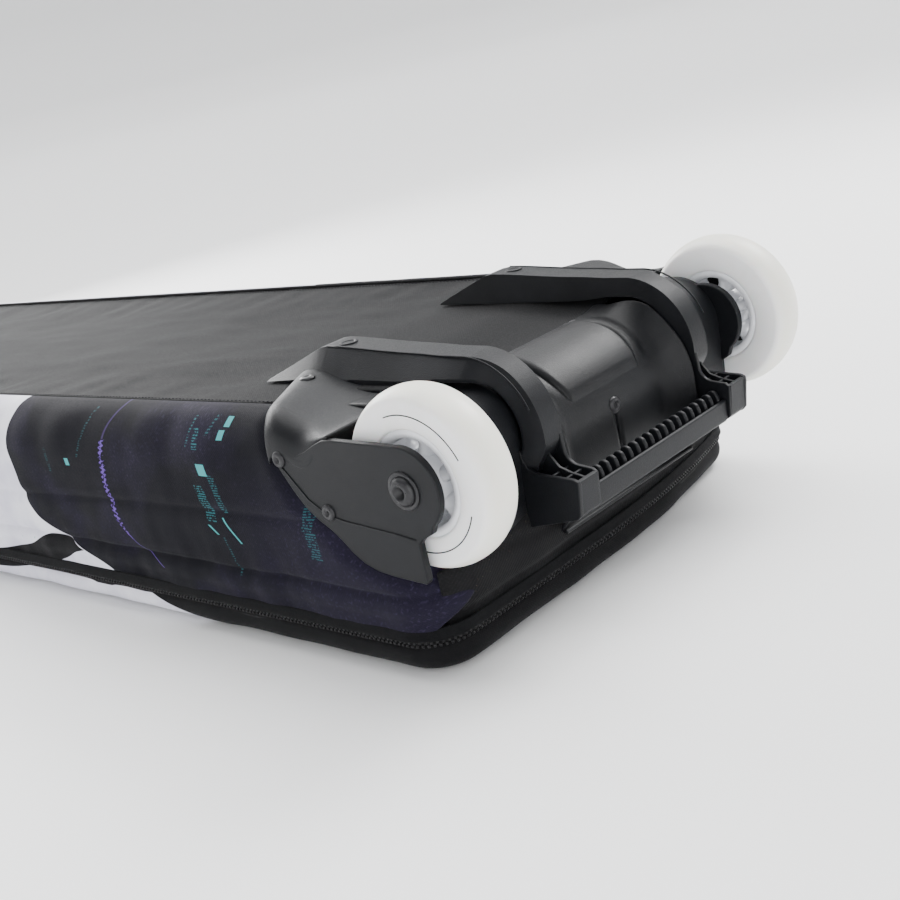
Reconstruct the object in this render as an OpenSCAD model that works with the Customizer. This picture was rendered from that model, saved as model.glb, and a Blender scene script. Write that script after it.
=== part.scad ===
// Wheeled snowboard bag, lying on its lid with the back panel up.
// +X runs to the wheel end, +Z is up, and the origin is below the middle of the bag on the floor.
// The right side is -Y and the left side is +Y.

/* [Bag] */
// Overall length, from the haul handle to the outer edge of the wheels
total_length = 1700; // [1600:10:1850]
// Half of the bag's width over its side walls
half_width = 150; // [150:1:151]
// Height of the back panel's outer face at the wheel end
back_height = 127; // [125:1:127]
// Height of the back panel's outer face at the nose end
nose_height = 112; // [108:1:120]
// Thickness of a padded wall
wall = 8; // [6:1:9]
// Height of the zip line above the floor
zip_height = 18; // [17:1:24]
// Radius of the bag's corners at the nose end
nose_corner = 70; // [40:5:90]

/* [Wheels] */
// Diameter of a wheel
wheel_diameter = 90; // [84:1:92]
// Width of a wheel
wheel_width = 24; // [22:0.5:25]
// Distance from the bag's middle plane to a wheel's middle plane
wheel_offset = 130.6; // [130:0.1:131]
// Height of the axles above the floor
axle_height = 100; // [99:1:102]
// Number of spokes in a wheel's core
spoke_count = 6; // [5:1:8]

/* [Grip bar] */
// Number of comb teeth on the grip bar
tooth_count = 17; // [9:1:19]

/* [Hidden] */
$fn = 48;

wheel_radius = wheel_diameter / 2;
axle_x = total_length / 2 - wheel_radius;      // the wheels are the part's +X end
handle_reach = 34;                             // how far the nose handle stands out of the nose wall
nose_x = -total_length / 2 + handle_reach;     // outer face of the nose wall
end_x = axle_x;                                // outer face of the wheel end wall
clear = 0.3;

// Side walls lean in above the shoulder to the narrower back panel
shoulder_height = 98;
seam_half_width = 128;
panel_thickness = 6;
board_thickness = 3;
zip_gap = 6;                                   // from the zip line to the padded walls' edges
base_edge = zip_height + zip_gap;              // lower edge of the base's walls
lid_edge = zip_height - zip_gap;               // upper edge of the lid's walls
lid_floor = 6;

// Chassis, measured from the axle line
plate_thickness = 4;
plate_outer = 150;
inner_plate_outer = 114;
arch_radius = wheel_radius + 5;
arch_thickness = 3;
nose_radius = 21.5;                            // rounded end of the fork plates round the axle
plate_bottom = -47;
plate_front = -98;
deck_top = 33;
deck_front = -134;
deck_bottom = 27;
rail_inner = 58;
rail_outer = 86;
rail_front = -158;
rail_corner = 36;                              // outer radius where a rail turns down the wheel end
rail_corner_x = -12;
rail_corner_z = 2;
rail_depth = 10;
foot_inner = 61;
foot_outer = 76;
foot_reach = 38;
foot_top = -21;
foot_bottom = -42;
guard_front = -36;
guard_radius = 39;
guard_center_x = -31;
guard_center_z = -17;
guard_bottom = -60;
guard_skin = 3;
bar_front = 26;
bar_top = -30;
bar_bottom = -43;
tooth_height = 6;
tooth_width = 3;

// Skate bearings and axles
core_radius = 27;
core_half_width = 11;
bearing_radius = 11;
bearing_width = 7;
race_wall = 1.8;
inner_race_radius = 5.6;
axle_radius = 4;
ball_radius = 1.55;
ball_pitch = 7.4;
ball_count = 7;
running_gap = 0.05;

// Zip sliders stand side by side at the middle of the right side
slider_length = 16;
slider_width = 11;
slider_thickness = 1.4;
slider_offset = 10;
bridge_half = 5;                               // from the middle of the slider to a post of its bridge
bridge_height = 4.6;
pull_length = 38;
pin_out = 3.3;                                 // from the side wall's face to the pull's pin

module sided(side) {
    if (side < 0) mirror([0, 1, 0]) children();
    else children();
}

// Stands an outline drawn in X and Z upright and gives it a thickness from near to far along Y
module upright(near, far) {
    translate([0, far, 0]) rotate([90, 0, 0]) linear_extrude(far - near) children();
}

module from_axle() {
    translate([axle_x, 0, axle_height]) children();
}

// Everything in a wheel is turned from an outline round the axle, measured from the wheel's middle
module at_wheel(side) {
    sided(side) from_axle() translate([0, wheel_offset, 0]) rotate([-90, 0, 0]) children();
}

module tube(outer, inner, low, high) {
    translate([0, 0, low]) difference() {
        cylinder(r = outer, h = high - low);
        translate([0, 0, -1]) cylinder(r = inner, h = high - low + 2);
    }
}

// ---- Bag ----

// Plan of the bag: rounded corners at the nose, small ones at the wheel end
module plan(inset) {
    w = half_width - inset;
    x0 = nose_x + inset;
    x1 = end_x - inset;
    corner = nose_corner - inset;
    heel = 18 - inset;
    translate([x0 + corner, -w]) square([x1 - x0 - corner - heel, 2 * w]);
    translate([x0, -w + corner]) square([corner + 1, 2 * w - 2 * corner]);
    translate([x1 - heel - 1, -w + heel]) square([heel + 1, 2 * w - 2 * heel]);
    for (s = [-1, 1]) {
        translate([x0 + corner, s * (w - corner)]) circle(r = corner);
        translate([x1 - heel, s * (w - heel)]) circle(r = heel);
    }
}

module plan_ring(outer_inset, inner_inset) {
    difference() {
        plan(outer_inset);
        plan(inner_inset);
    }
}

// Outline of the space below the sloping back panel, from the side
module side_profile(top_drop) {
    polygon([[nose_x - 1, base_edge], [end_x + 1, base_edge],
             [end_x + 1, back_height - top_drop], [nose_x - 1, nose_height - top_drop]]);
}

module wall_section() {
    polygon([[half_width - wall, base_edge], [half_width, base_edge], [half_width, shoulder_height],
             [seam_half_width, back_height - 1], [seam_half_width, back_height - panel_thickness - 1],
             [seam_half_width - wall + 2, back_height - panel_thickness - 1],
             [half_width - wall, shoulder_height - 4]]);
}

// Space that the wheel housing takes out of the bag's side
module housing_space() {
    from_axle() upright(90, half_width + 1) {
        plate_outline();
        circle(r = arch_radius + arch_thickness + clear);
        translate([-55, plate_bottom]) square([120, 130]);
        translate([plate_front, 20]) square([140, 60]);
    }
}

// The sloping back panel from the side, from x to the guard, with room below and above it
module panel_outline(x, below, above) {
    slope_z = nose_height - panel_thickness;
    polygon([[x, slope_z - below], [x, nose_height + above],
             [axle_x + guard_front, back_height + above],
             [axle_x + guard_front, back_height - panel_thickness - below]]);
}

module side_wall(side) {
    color("midnightblue") sided(side) difference() {
        intersection() {
            translate([nose_x + nose_corner, 0, 0]) rotate([90, 0, 90])
                linear_extrude(end_x - 18 - nose_x - nose_corner) wall_section();
            upright(0, half_width + 1) side_profile(0);
        }
        housing_space();
        upright(0, seam_half_width) panel_outline(nose_x - 1, clear, 40);
    }
}

module nose_wall() {
    color("white") intersection() {
        translate([0, 0, base_edge]) linear_extrude(back_height) plan_ring(0, wall);
        upright(-half_width - 1, half_width + 1) side_profile(0);
        translate([nose_x - 1, -half_width - 1, 0]) cube([nose_corner + 1, 2 * half_width + 2, 200]);
    }
}

module wheel_end_wall() {
    low_top = axle_height + plate_bottom - 1;
    color("dimgray") {
        intersection() {
            translate([0, 0, base_edge]) linear_extrude(low_top - base_edge) plan_ring(0, wall);
            translate([end_x - 18, -half_width - 1, 0]) cube([30, 2 * half_width + 2, 200]);
        }
        translate([end_x - wall, -108, low_top]) cube([wall, 216, 30]);
    }
}

module back_panel() {
    color("black") difference() {
        intersection() {
            upright(-seam_half_width + clear, seam_half_width - clear) panel_outline(nose_x, 0, 0);
            linear_extrude(back_height + 1) plan(wall + clear);
        }
        sided(1) housing_space();
        sided(-1) housing_space();
    }
}

module back_insert() {
    color("#1c1c1e") translate([axle_x - 96, -rail_inner + 1, back_height + clear])
        cube([-guard_front - 1 + 24, 2 * rail_inner - 2, 1.5]);
}

module back_board() {
    drop = 4;
    color("whitesmoke") upright(-112, 112)
        polygon([[nose_x + 40, nose_height - panel_thickness - drop],
                 [nose_x + 40, nose_height - panel_thickness - drop + board_thickness],
                 [axle_x - 120, back_height - panel_thickness - drop + board_thickness],
                 [axle_x - 120, back_height - panel_thickness - drop]]);
}

module lid_shell() {
    color("lavender") difference() {
        linear_extrude(lid_edge) plan(0);
        translate([0, 0, lid_floor]) linear_extrude(lid_edge) plan(wall);
    }
}

module lid_padding() {
    color("gray") translate([0, 0, lid_floor]) linear_extrude(5) plan(wall + 4);
}

// A zip tape with its teeth, on every side but the hinge side
module zip_chain(low, high, teeth_low) {
    tape = 1.2;
    teeth = 2.6;
    difference() {
        union() {
            translate([0, 0, low]) linear_extrude(high - low) plan_ring(2, 2 + tape);
            translate([0, 0, teeth_low]) linear_extrude(1.8) plan_ring(1.3, 1.3 + teeth);
        }
        translate([nose_x - 1, half_width - 18, 0]) cube([total_length, 30, 100]);
    }
}

module base_zip_chain() {
    color("black") zip_chain(zip_height + 0.1, base_edge, zip_height + 0.1);
}

module lid_zip_chain() {
    color("black") zip_chain(lid_edge, zip_height - 0.1, zip_height - 1.9);
}

module hinge_band() {
    color("black") translate([nose_x + nose_corner, half_width - 3, zip_height + 0.5])
        cube([end_x - nose_x - nose_corner - 18, 2, zip_gap - 0.5]);
}

// ---- Inside ----

module tie_strap(x) {
    color("black") for (s = [-1, 1])
        translate([x - 19, s > 0 ? 24 : -110, nose_height - 20]) cube([38, 86, 2]);
}

module tie_buckle(x) {
    color("dimgray") translate([x, 0, nose_height - 21]) {
        difference() {
            translate([-24, -22, 0]) cube([48, 28, 9]);
            translate([-17, -18, -1]) cube([34, 5, 11]);
            translate([-12, -6, 2.5]) cube([24, 14, 4]);
        }
        difference() {
            union() {
                translate([-24, 6.4, 0]) cube([48, 15, 9]);
                translate([-11, -5, 3]) cube([22, 12, 3]);
            }
            translate([-17, 12, -1]) cube([34, 5, 11]);
        }
    }
}

// ---- Handles ----

module nose_handle_webbing() {
    z = 58;
    color("black") translate([nose_x, 0, z]) {
        for (s = [-1, 1]) translate([-26, s > 0 ? 62 : -65, 0]) cube([25.7, 3, 32]);
        translate([-29, -65, 0]) cube([3, 130, 32]);
    }
}

module nose_handle_grip() {
    color("#222222") translate([nose_x - 27.5, 0, 74]) difference() {
        translate([-6.5, -50, -19]) cube([13, 100, 38]);
        translate([-2, -51, -16.5]) cube([4, 102, 33]);
    }
}

module side_handle_webbing(side) {
    grip_gap = 16;
    color("black") sided(side) translate([0, half_width, 62]) {
        for (s = [-1, 1]) {
            translate([s > 0 ? 98 : -158, 0.3, 0]) cube([60, 2.2, 30]);
            translate([s > 0 ? 98 : -101, 2.5, 0]) cube([3, grip_gap - 2.5, 30]);
        }
        translate([-101, grip_gap, 0]) cube([202, 2.2, 30]);
    }
}

module side_handle_grip(side) {
    color("#222222") sided(side) translate([0, half_width + 17.1, 77]) difference() {
        translate([-60, -4.5, -18]) cube([120, 7.4, 36]);
        translate([-61, -1.6, -15.5]) cube([122, 3.2, 31]);
    }
}

// ---- Chassis ----

// Fork plate: a nose round the axle that widens into the plate riveted to the bag's side
module plate_outline() {
    circle(r = nose_radius);
    polygon([[plate_front, 28], [-90, deck_top], [-54, deck_top], [-50, 29], [-43, 23], [-5, nose_radius - 0.7],
             [2, 0], [1, -25], [-5, plate_bottom], [-33, -45], [-46, -39], [-58, -27], [-74, -17],
             [-86, 2], [-93, 15]]);
}

module side_plate(side) {
    color("#202022") sided(side) from_axle() difference() {
        upright(plate_outer - plate_thickness, plate_outer) plate_outline();
        translate([0, plate_outer - plate_thickness - 1, 0]) rotate([-90, 0, 0])
            cylinder(r = axle_radius, h = plate_thickness + 2);
    }
}

module rail_outline() {
    top = rail_corner_z + rail_corner;
    polygon([[rail_front, deck_bottom + clear], [-122, 43], [-111, 45], [-60, 43], [rail_corner_x, top],
             [rail_corner_x, top - rail_depth], [-40, deck_bottom + clear]]);
    intersection() {
        translate([rail_corner_x, rail_corner_z]) difference() {
            circle(r = rail_corner);
            circle(r = rail_corner - rail_depth);
        }
        translate([rail_corner_x, rail_corner_z]) square(rail_corner + 1);
    }
    translate([rail_corner_x + rail_corner - rail_depth, foot_top - 5])
        square([rail_depth, rail_corner_z - foot_top + 5.5]);
}

// Open-topped box with ribs at the lower end of a rail
module foot_block() {
    pocket = (foot_reach - 16) / 3;
    difference() {
        translate([2, foot_inner, foot_bottom])
            cube([foot_reach - 2, foot_outer - foot_inner, foot_top - foot_bottom]);
        for (i = [0 : 1])
            translate([rail_corner_x + rail_corner + 1.5 + i * pocket, foot_inner + 3, foot_bottom + 4])
                cube([pocket - 2, foot_outer - foot_inner - 6, 40]);
    }
}

module wheel_housing(side) {
    color("#18181a") sided(side) from_axle() {
        difference() {
            union() {
                upright(inner_plate_outer - plate_thickness, inner_plate_outer) plate_outline();
                // Arch that wraps the wheel on its inner side
                upright(inner_plate_outer - 1, plate_outer - plate_thickness) intersection() {
                    difference() {
                        circle(r = arch_radius + arch_thickness);
                        circle(r = arch_radius);
                    }
                    translate([-80, plate_bottom]) square([60, deck_top - plate_bottom]);
                }
                // Deck from the rail to the side plate
                translate([0, 0, deck_top - 4]) linear_extrude(4)
                    polygon([[deck_front, rail_outer - 2], [deck_front + 12, 116],
                             [plate_front, plate_outer - plate_thickness], [-42, plate_outer - plate_thickness],
                             [-42, rail_outer - 2]]);
                translate([plate_front + 4, rail_outer - 2, deck_bottom + clear])
                    cube([4, plate_outer - plate_thickness - rail_outer + 2, deck_top - deck_bottom - 2]);
                translate([plate_front + 4, rail_outer - 2, deck_top - 4])
                    cube([100, 28, 4]);
                upright(rail_inner, rail_outer) rail_outline();
                foot_block();
            }
            translate([0, inner_plate_outer - plate_thickness - 1, 0]) rotate([-90, 0, 0])
                cylinder(r = axle_radius, h = plate_thickness + 2);
        }
    }
}

// Curved guard over the bag's lower back corner, between the rails
module center_guard() {
    half = rail_inner - clear;
    color("#141416") from_axle() difference() {
        union() {
            upright(-half, half) intersection() {
                translate([guard_center_x, guard_center_z]) difference() {
                    circle(r = guard_radius);
                    circle(r = guard_radius - guard_skin);
                }
                translate([guard_center_x, guard_center_z]) square(guard_radius + 1);
            }
            translate([guard_front + clear, -half, guard_center_z + guard_radius - guard_skin])
                cube([guard_center_x - guard_front + 0.5, 2 * half, guard_skin]);
            translate([guard_center_x + guard_radius - guard_skin, -half, guard_bottom])
                cube([guard_skin, 2 * half, guard_center_z - guard_bottom + 0.5]);
            translate([guard_center_x + guard_radius - 1, -half, guard_bottom])
                cube([16, 2 * half, guard_skin]);
        }
        translate([guard_center_x + guard_radius - guard_skin - 1, 0, guard_center_z])
            rotate([0, 90, 0]) cylinder(r = 2.5, h = guard_skin + 2);
    }
}

module grip_bar() {
    depth = foot_reach - bar_front;
    half = foot_inner - clear;
    color("#1a1a1c") from_axle() {
        translate([bar_front, -half, bar_bottom]) cube([depth, 2 * half, bar_top - bar_bottom]);
        for (i = [0 : tooth_count - 1]) {
            middle = -half + (i + 0.5) * 2 * half / tooth_count;
            translate([bar_front + 2, middle - tooth_width / 2, bar_top - 0.5])
                cube([depth - 2, tooth_width, tooth_height + 0.5]);
        }
    }
}

module bar_screws() {
    color("silver") from_axle() for (s = [-1, 1])
        translate([foot_reach - 5, s * (foot_outer + 0.7) - 0.7, foot_bottom + 5]) rotate([-90, 0, 0])
            cylinder(r = 3.4, h = 1.4);
}

module plate_rivets() {
    color("#303034") for (s = [-1, 1]) sided(s) from_axle()
        for (spot = [[-86, 19], [-57, -16]])
            translate([spot[0], plate_outer, spot[1]]) rotate([-90, 0, 0]) cylinder(r = 4.2, h = 1.6);
}

module deck_screws() {
    color("#303034") for (s = [-1, 1]) sided(s) from_axle()
        translate([-112, 98, deck_top]) cylinder(r = 4, h = 1.5);
}

module guard_rivets() {
    color("#303034") from_axle() for (s = [-1, 1]) for (y = [29, 35])
        translate([guard_front + 3, s * y, guard_center_z + guard_radius]) cylinder(r = 2.4, h = 1.2);
}

module guard_screw() {
    x = guard_center_x + guard_radius;
    color("#303034") from_axle() translate([x, 0, guard_center_z]) rotate([0, 90, 0]) {
        cylinder(r = 4.5, h = 2);
        translate([0, 0, -guard_skin - 3]) cylinder(r = 2.5, h = guard_skin + 3);
    }
}

module backing_strips() {
    color("silver") for (s = [-1, 1]) sided(s)
        translate([axle_x - 112, 92, back_height - panel_thickness - 4]) cube([50, 14, 2]);
}

// ---- Wheels ----

module tyre(side) {
    shoulder = 8.6;
    half = wheel_width / 2;
    color("white") at_wheel(side) rotate_extrude($fn = 96) {
        translate([core_radius, -half]) square([wheel_radius - shoulder - core_radius, wheel_width]);
        translate([core_radius, -half + shoulder])
            square([wheel_radius - core_radius, wheel_width - 2 * shoulder]);
        for (s = [-1, 1]) translate([wheel_radius - shoulder, s * (half - shoulder)]) circle(r = shoulder);
    }
}

module core(side) {
    rim = 4;
    hub_wall = 2.5;
    color("whitesmoke") at_wheel(side) {
        tube(core_radius, core_radius - rim, -core_half_width, core_half_width);
        tube(bearing_radius + hub_wall, bearing_radius, -core_half_width, core_half_width);
        tube(bearing_radius + 0.5, bearing_radius - race_wall, -4, 4);
        for (i = [0 : spoke_count - 1]) rotate([0, 0, i * 360 / spoke_count])
            translate([bearing_radius + hub_wall - 0.5, -3, -8])
                cube([core_radius - rim - 13 + 0.5, 6, 16]);
    }
}

// Places a bearing part at each end of the core
module both_bearings() {
    translate([0, 0, core_half_width - bearing_width]) children();
    translate([0, 0, -core_half_width]) children();
}

module outer_races(side) {
    color("silver") at_wheel(side) both_bearings()
        tube(bearing_radius, bearing_radius - race_wall, 0, bearing_width);
}

module shields(side) {
    shield = 0.4;
    color("darkgray") at_wheel(side) both_bearings() for (z = [0.3, bearing_width - 0.3 - shield])
        tube(bearing_radius - race_wall, inner_race_radius + running_gap, z, z + shield);
}

module inner_races(side) {
    color("silver") at_wheel(side) both_bearings()
        tube(inner_race_radius, axle_radius, 0, bearing_width);
}

module bearing_balls(side) {
    color("silver") at_wheel(side) both_bearings() for (i = [0 : ball_count - 1])
        rotate([0, 0, i * 360 / ball_count]) translate([ball_pitch, 0, bearing_width / 2])
            sphere(r = ball_radius, $fn = 24);
}

// Spacer between the bearings, and a washer from each bearing to its fork plate
module spacers(side) {
    inward = inner_plate_outer - wheel_offset;
    outward = plate_outer - plate_thickness - wheel_offset;
    color("gray") at_wheel(side) {
        tube(5.5, axle_radius, bearing_width - core_half_width, core_half_width - bearing_width);
        tube(5.2, axle_radius, inward, -core_half_width);
        tube(5.2, axle_radius, core_half_width, outward);
    }
}

module axle_bolt(side) {
    outward = plate_outer - wheel_offset;
    color("#202022") at_wheel(side) difference() {
        union() {
            translate([0, 0, -27]) cylinder(r = axle_radius, h = outward + 27);
            translate([0, 0, outward]) cylinder(r = 7, h = 3.6);
        }
        translate([0, 0, outward + 1]) cylinder(r = 2.9, h = 3.6, $fn = 6);
    }
}

module axle_nut(side) {
    inward = inner_plate_outer - plate_thickness - wheel_offset;
    color("silver") at_wheel(side) difference() {
        translate([0, 0, inward - 6]) cylinder(r = 7.5, h = 6, $fn = 6);
        translate([0, 0, inward - 7]) cylinder(r = axle_radius, h = 8);
    }
}

// ---- Zip sliders ----

// Face plate with the bridge that holds the pull
module zip_slider(side) {
    face = -half_width - clear;
    color("#28282a") translate([side * slider_offset, face, zip_height]) {
        translate([-slider_length / 2, -slider_thickness, -slider_width / 2])
            cube([slider_length, slider_thickness, slider_width]);
        for (s = [-1, 1]) translate([s * bridge_half - 1, -bridge_height, -1.5])
            cube([2, bridge_height - slider_thickness + 0.2, 3]);
        translate([-bridge_half - 1, -bridge_height - 1.3, -1.5]) cube([2 * bridge_half + 2, 1.4, 3]);
    }
}

// The pull turns on a pin under the bridge. Its two arms pass outside the bridge.
module zip_pull(side) {
    arm = 1.6;
    arm_length = 10;
    half_pull = 5;
    color("#303032") translate([side * slider_offset, -half_width - pin_out, zip_height]) {
        translate([0, 0, -half_pull]) cylinder(r = 0.8, h = 2 * half_pull, $fn = 24);
        for (s = [-1, 1]) translate([side > 0 ? 0 : -arm_length, -0.7, s * (half_pull - arm / 2) - arm / 2])
            cube([arm_length, 1.4, arm]);
        translate([side > 0 ? arm_length - 0.5 : -pull_length, -0.7, -half_pull])
            cube([pull_length - arm_length + 0.5, 1.4, 2 * half_pull]);
    }
}

back_panel();
back_insert();
back_board();
side_wall(-1);  // right_side_wall
side_wall(1);  // left_side_wall
nose_wall();
wheel_end_wall();
base_zip_chain();
hinge_band();
lid_shell();
lid_padding();
lid_zip_chain();
tie_strap(350);  // front_tie_strap
tie_strap(-350);  // rear_tie_strap
tie_buckle(350);  // front_buckle
tie_buckle(-350);  // rear_buckle
nose_handle_webbing();
nose_handle_grip();
side_handle_webbing(-1);  // right_handle_webbing
side_handle_webbing(1);  // left_handle_webbing
side_handle_grip(-1);  // right_handle_grip
side_handle_grip(1);  // left_handle_grip
wheel_housing(-1);  // right_wheel_housing
wheel_housing(1);  // left_wheel_housing
side_plate(-1);  // right_side_plate
side_plate(1);  // left_side_plate
center_guard();
grip_bar();
bar_screws();
plate_rivets();
guard_rivets();
guard_screw();
deck_screws();
backing_strips();
tyre(-1);  // right_tyre
core(-1);  // right_core
outer_races(-1);  // right_outer_races
shields(-1);  // right_shields
tyre(1);  // left_tyre
core(1);  // left_core
outer_races(1);  // left_outer_races
shields(1);  // left_shields
axle_bolt(-1);  // right_axle_bolt
axle_nut(-1);  // right_axle_nut
inner_races(-1);  // right_inner_races
spacers(-1);  // right_spacers
bearing_balls(-1);  // right_bearing_balls
axle_bolt(1);  // left_axle_bolt
axle_nut(1);  // left_axle_nut
inner_races(1);  // left_inner_races
spacers(1);  // left_spacers
bearing_balls(1);  // left_bearing_balls
zip_slider(1);  // front_zip_slider
zip_pull(1);  // front_zip_pull
zip_slider(-1);  // rear_zip_slider
zip_pull(-1);  // rear_zip_pull
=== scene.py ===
"""Looks for the wheeled snowboard bag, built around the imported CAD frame.

Metres, with +X to the wheel end and +Z up.
"""
import math

import bmesh
import bpy
import numpy as np
from mathutils import Matrix, Vector, noise


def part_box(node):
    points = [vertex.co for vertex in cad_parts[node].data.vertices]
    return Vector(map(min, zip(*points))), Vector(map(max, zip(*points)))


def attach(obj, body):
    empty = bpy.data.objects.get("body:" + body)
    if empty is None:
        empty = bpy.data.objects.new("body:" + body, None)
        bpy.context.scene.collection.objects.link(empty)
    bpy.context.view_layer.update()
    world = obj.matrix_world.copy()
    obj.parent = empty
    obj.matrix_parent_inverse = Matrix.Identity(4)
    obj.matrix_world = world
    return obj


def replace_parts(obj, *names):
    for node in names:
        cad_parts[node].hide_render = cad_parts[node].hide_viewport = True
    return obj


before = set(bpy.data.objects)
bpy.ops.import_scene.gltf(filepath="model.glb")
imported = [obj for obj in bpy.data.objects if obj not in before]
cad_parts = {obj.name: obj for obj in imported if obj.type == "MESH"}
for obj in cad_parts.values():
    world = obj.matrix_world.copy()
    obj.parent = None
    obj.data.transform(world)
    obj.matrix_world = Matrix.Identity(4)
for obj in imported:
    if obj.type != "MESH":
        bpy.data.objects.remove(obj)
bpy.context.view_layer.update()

MM = 0.001

# ---- Places taken from the frame ----
tyre_low, tyre_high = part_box("right_tyre")
AXLE_X = (tyre_low.x + tyre_high.x) / 2
AXLE_Z = (tyre_low.z + tyre_high.z) / 2
WHEEL_R = (tyre_high.z - tyre_low.z) / 2
WHEEL_Y = -(tyre_low.y + tyre_high.y) / 2
TYRE_HALF = (tyre_high.y - tyre_low.y) / 2
plate_low, plate_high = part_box("right_side_plate")
PLATE_Y = -plate_low.y
PLATE_T = plate_high.y - plate_low.y
wall_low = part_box("right_side_wall")[0]
HALF_W = -wall_low.y
panel_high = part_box("back_panel")[1]
SEAM_Y = panel_high.y - 2.5 * MM
nose_low, nose_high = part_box("nose_wall")
NOSE_X = nose_low.x
END_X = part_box("wheel_end_wall")[1].x
ZIP_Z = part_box("lid_zip_chain")[1].z + 0.1 * MM
BASE_EDGE = wall_low.z
NOSE_CORNER = nose_high.x - nose_low.x
HEEL_CORNER = 24 * MM
TOP_END = panel_high.z
TOP_NOSE = TOP_END - 15 * MM
GUARD_X = panel_high.x
SEAM_A = BASE_EDGE + 19 * MM          # seam between the side wall and its lower strip
ZIP_GAP = 2.2 * MM                    # from the zip's middle to the fabric on either side of it
END_SHARE = 0.45                      # share of the heel corner that the end panel takes
SIDES = ((-1, "right"), (1, "left"))
LABEL = dict(SIDES)


def at(x, y, z):
    """A point given in millimetres from the axle line, with y from the bag's middle."""
    return Vector((AXLE_X + x * MM, y * MM, AXLE_Z + z * MM))


# ---- Node materials ----

class Shader:
    """A Principled material and short calls for the nodes that feed it."""

    def __init__(self, name, color, roughness, **sockets):
        self.mat = bpy.data.materials.new(name)
        self.mat.use_nodes = True
        self.tree = self.mat.node_tree
        self.bsdf = self.tree.nodes["Principled BSDF"]
        self.bsdf.inputs["Base Color"].default_value = (*color, 1)
        self.bsdf.inputs["Roughness"].default_value = roughness
        self.mat.diffuse_color = (*color, 1)
        for key, value in sockets.items():
            self.bsdf.inputs[key.replace("_", " ")].default_value = value

    def node(self, kind, links=None, **settings):
        made = self.tree.nodes.new(kind)
        for key, value in settings.items():
            setattr(made, key, value)
        for key, value in (links or {}).items():
            target = made.inputs[key]
            if isinstance(value, bpy.types.NodeSocket):
                self.tree.links.new(value, target)
            else:
                target.default_value = value
        return made

    def math(self, operation, a, b=0.0, c=0.0):
        return self.node("ShaderNodeMath", {0: a, 1: b, 2: c}, operation=operation).outputs[0]

    def noise(self, vector, scale, detail=3.0, roughness=0.55):
        found = self.node("ShaderNodeTexNoise",
                          {"Vector": vector, "Scale": scale, "Detail": detail, "Roughness": roughness})
        return found.outputs["Fac"]

    def wave(self, vector, scale, direction, distortion=0.0):
        found = self.node("ShaderNodeTexWave", {"Vector": vector, "Scale": scale, "Distortion": distortion},
                          bands_direction=direction)
        return found.outputs["Fac"]

    def mix(self, factor, a, b, blend="MIX"):
        found = self.node("ShaderNodeMix", data_type="RGBA", blend_type=blend)
        for index, value in ((0, factor), (6, a), (7, b)):
            if isinstance(value, bpy.types.NodeSocket):
                self.tree.links.new(value, found.inputs[index])
            elif index:
                found.inputs[index].default_value = (*value, 1)
            else:
                found.inputs[index].default_value = value
        return found.outputs[2]

    def range(self, value, low, high, to_low=0.0, to_high=1.0):
        return self.node("ShaderNodeMapRange", {0: value, 1: low, 2: high, 3: to_low, 4: to_high}).outputs[0]

    def split(self, vector):
        return self.node("ShaderNodeSeparateXYZ", {0: vector}).outputs

    def object_place(self):
        return self.node("ShaderNodeTexCoord").outputs["Object"]

    def uv(self):
        return self.node("ShaderNodeUVMap", uv_map="cloth").outputs["UV"]

    def set(self, socket, value):
        self.tree.links.new(value, self.bsdf.inputs[socket])

    def bump(self, *layers):
        """Stacks (height, strength, distance) layers."""
        normal = None
        for height, strength, distance in layers:
            links = {"Height": height, "Strength": strength, "Distance": distance}
            if normal is not None:
                links["Normal"] = normal
            normal = self.node("ShaderNodeBump", links).outputs["Normal"]
        self.set("Normal", normal)


def weave_height(s, vector, pitch):
    """Over and under threads of a plain weave, one thread each pitch."""
    turns = 1 / (pitch * 2)
    warp = s.math("SINE", s.math("MULTIPLY", s.split(vector)[0], turns * math.tau))
    weft = s.math("SINE", s.math("MULTIPLY", s.split(vector)[1], turns * math.tau))
    return s.math("MULTIPLY_ADD", s.math("MULTIPLY", warp, weft), 0.5, 0.5)


def cloth_material(name, color, pitch=0.9 * MM, sheen=0.25, tint=0.25, use_uv=True, roughness=0.82):
    s = Shader(name, color, roughness, Sheen_Weight=sheen, Sheen_Roughness=0.5, Specular_IOR_Level=0.10)
    place = s.uv() if use_uv else s.object_place()
    weave = weave_height(s, place, pitch)
    fine = s.noise(s.object_place(), 900, 2)
    cloud = s.noise(s.object_place(), 14, 4)
    dark = tuple(c * (1 - tint) for c in color)
    light = tuple(min(1, c * (1 + tint)) for c in color)
    base = s.mix(cloud, dark, light)
    base = s.mix(s.math("MULTIPLY", weave, 0.35), base, tuple(c * 0.55 for c in color))
    s.set("Base Color", base)
    s.set("Roughness", s.range(fine, 0.3, 0.7, roughness - 0.1, min(1, roughness + 0.1)))
    s.bump((weave, 0.35, 0.25 * MM), (fine, 0.25, 0.2 * MM))
    return s


def curve_value(s, value, points, low, high):
    """A smooth function of value through the points, with both axes scaled from low to high."""
    (x0, y0), (x1, y1) = low, high
    found = s.node("ShaderNodeFloatCurve", {"Factor": 1.0, "Value": s.range(value, x0, x1)})
    curve = found.mapping.curves[0]
    for index, (x, y) in enumerate(points):
        place = ((x - x0) / (x1 - x0), (y - y0) / (y1 - y0))
        if index < 2:
            curve.points[index].location = place
        else:
            curve.points.new(*place)
    found.mapping.update()
    return s.math("MULTIPLY_ADD", found.outputs[0], y1 - y0, y0)


# Edge between the dark print and the light fabric on each side: height, then distance from the axle
PRINT_EDGE = [(0.0, -190), (6, -212), (15, -244), (24, -268), (37, -298), (46, -322), (59, -345), (88, -356),
              (108, -358), (134, -350)]
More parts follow.
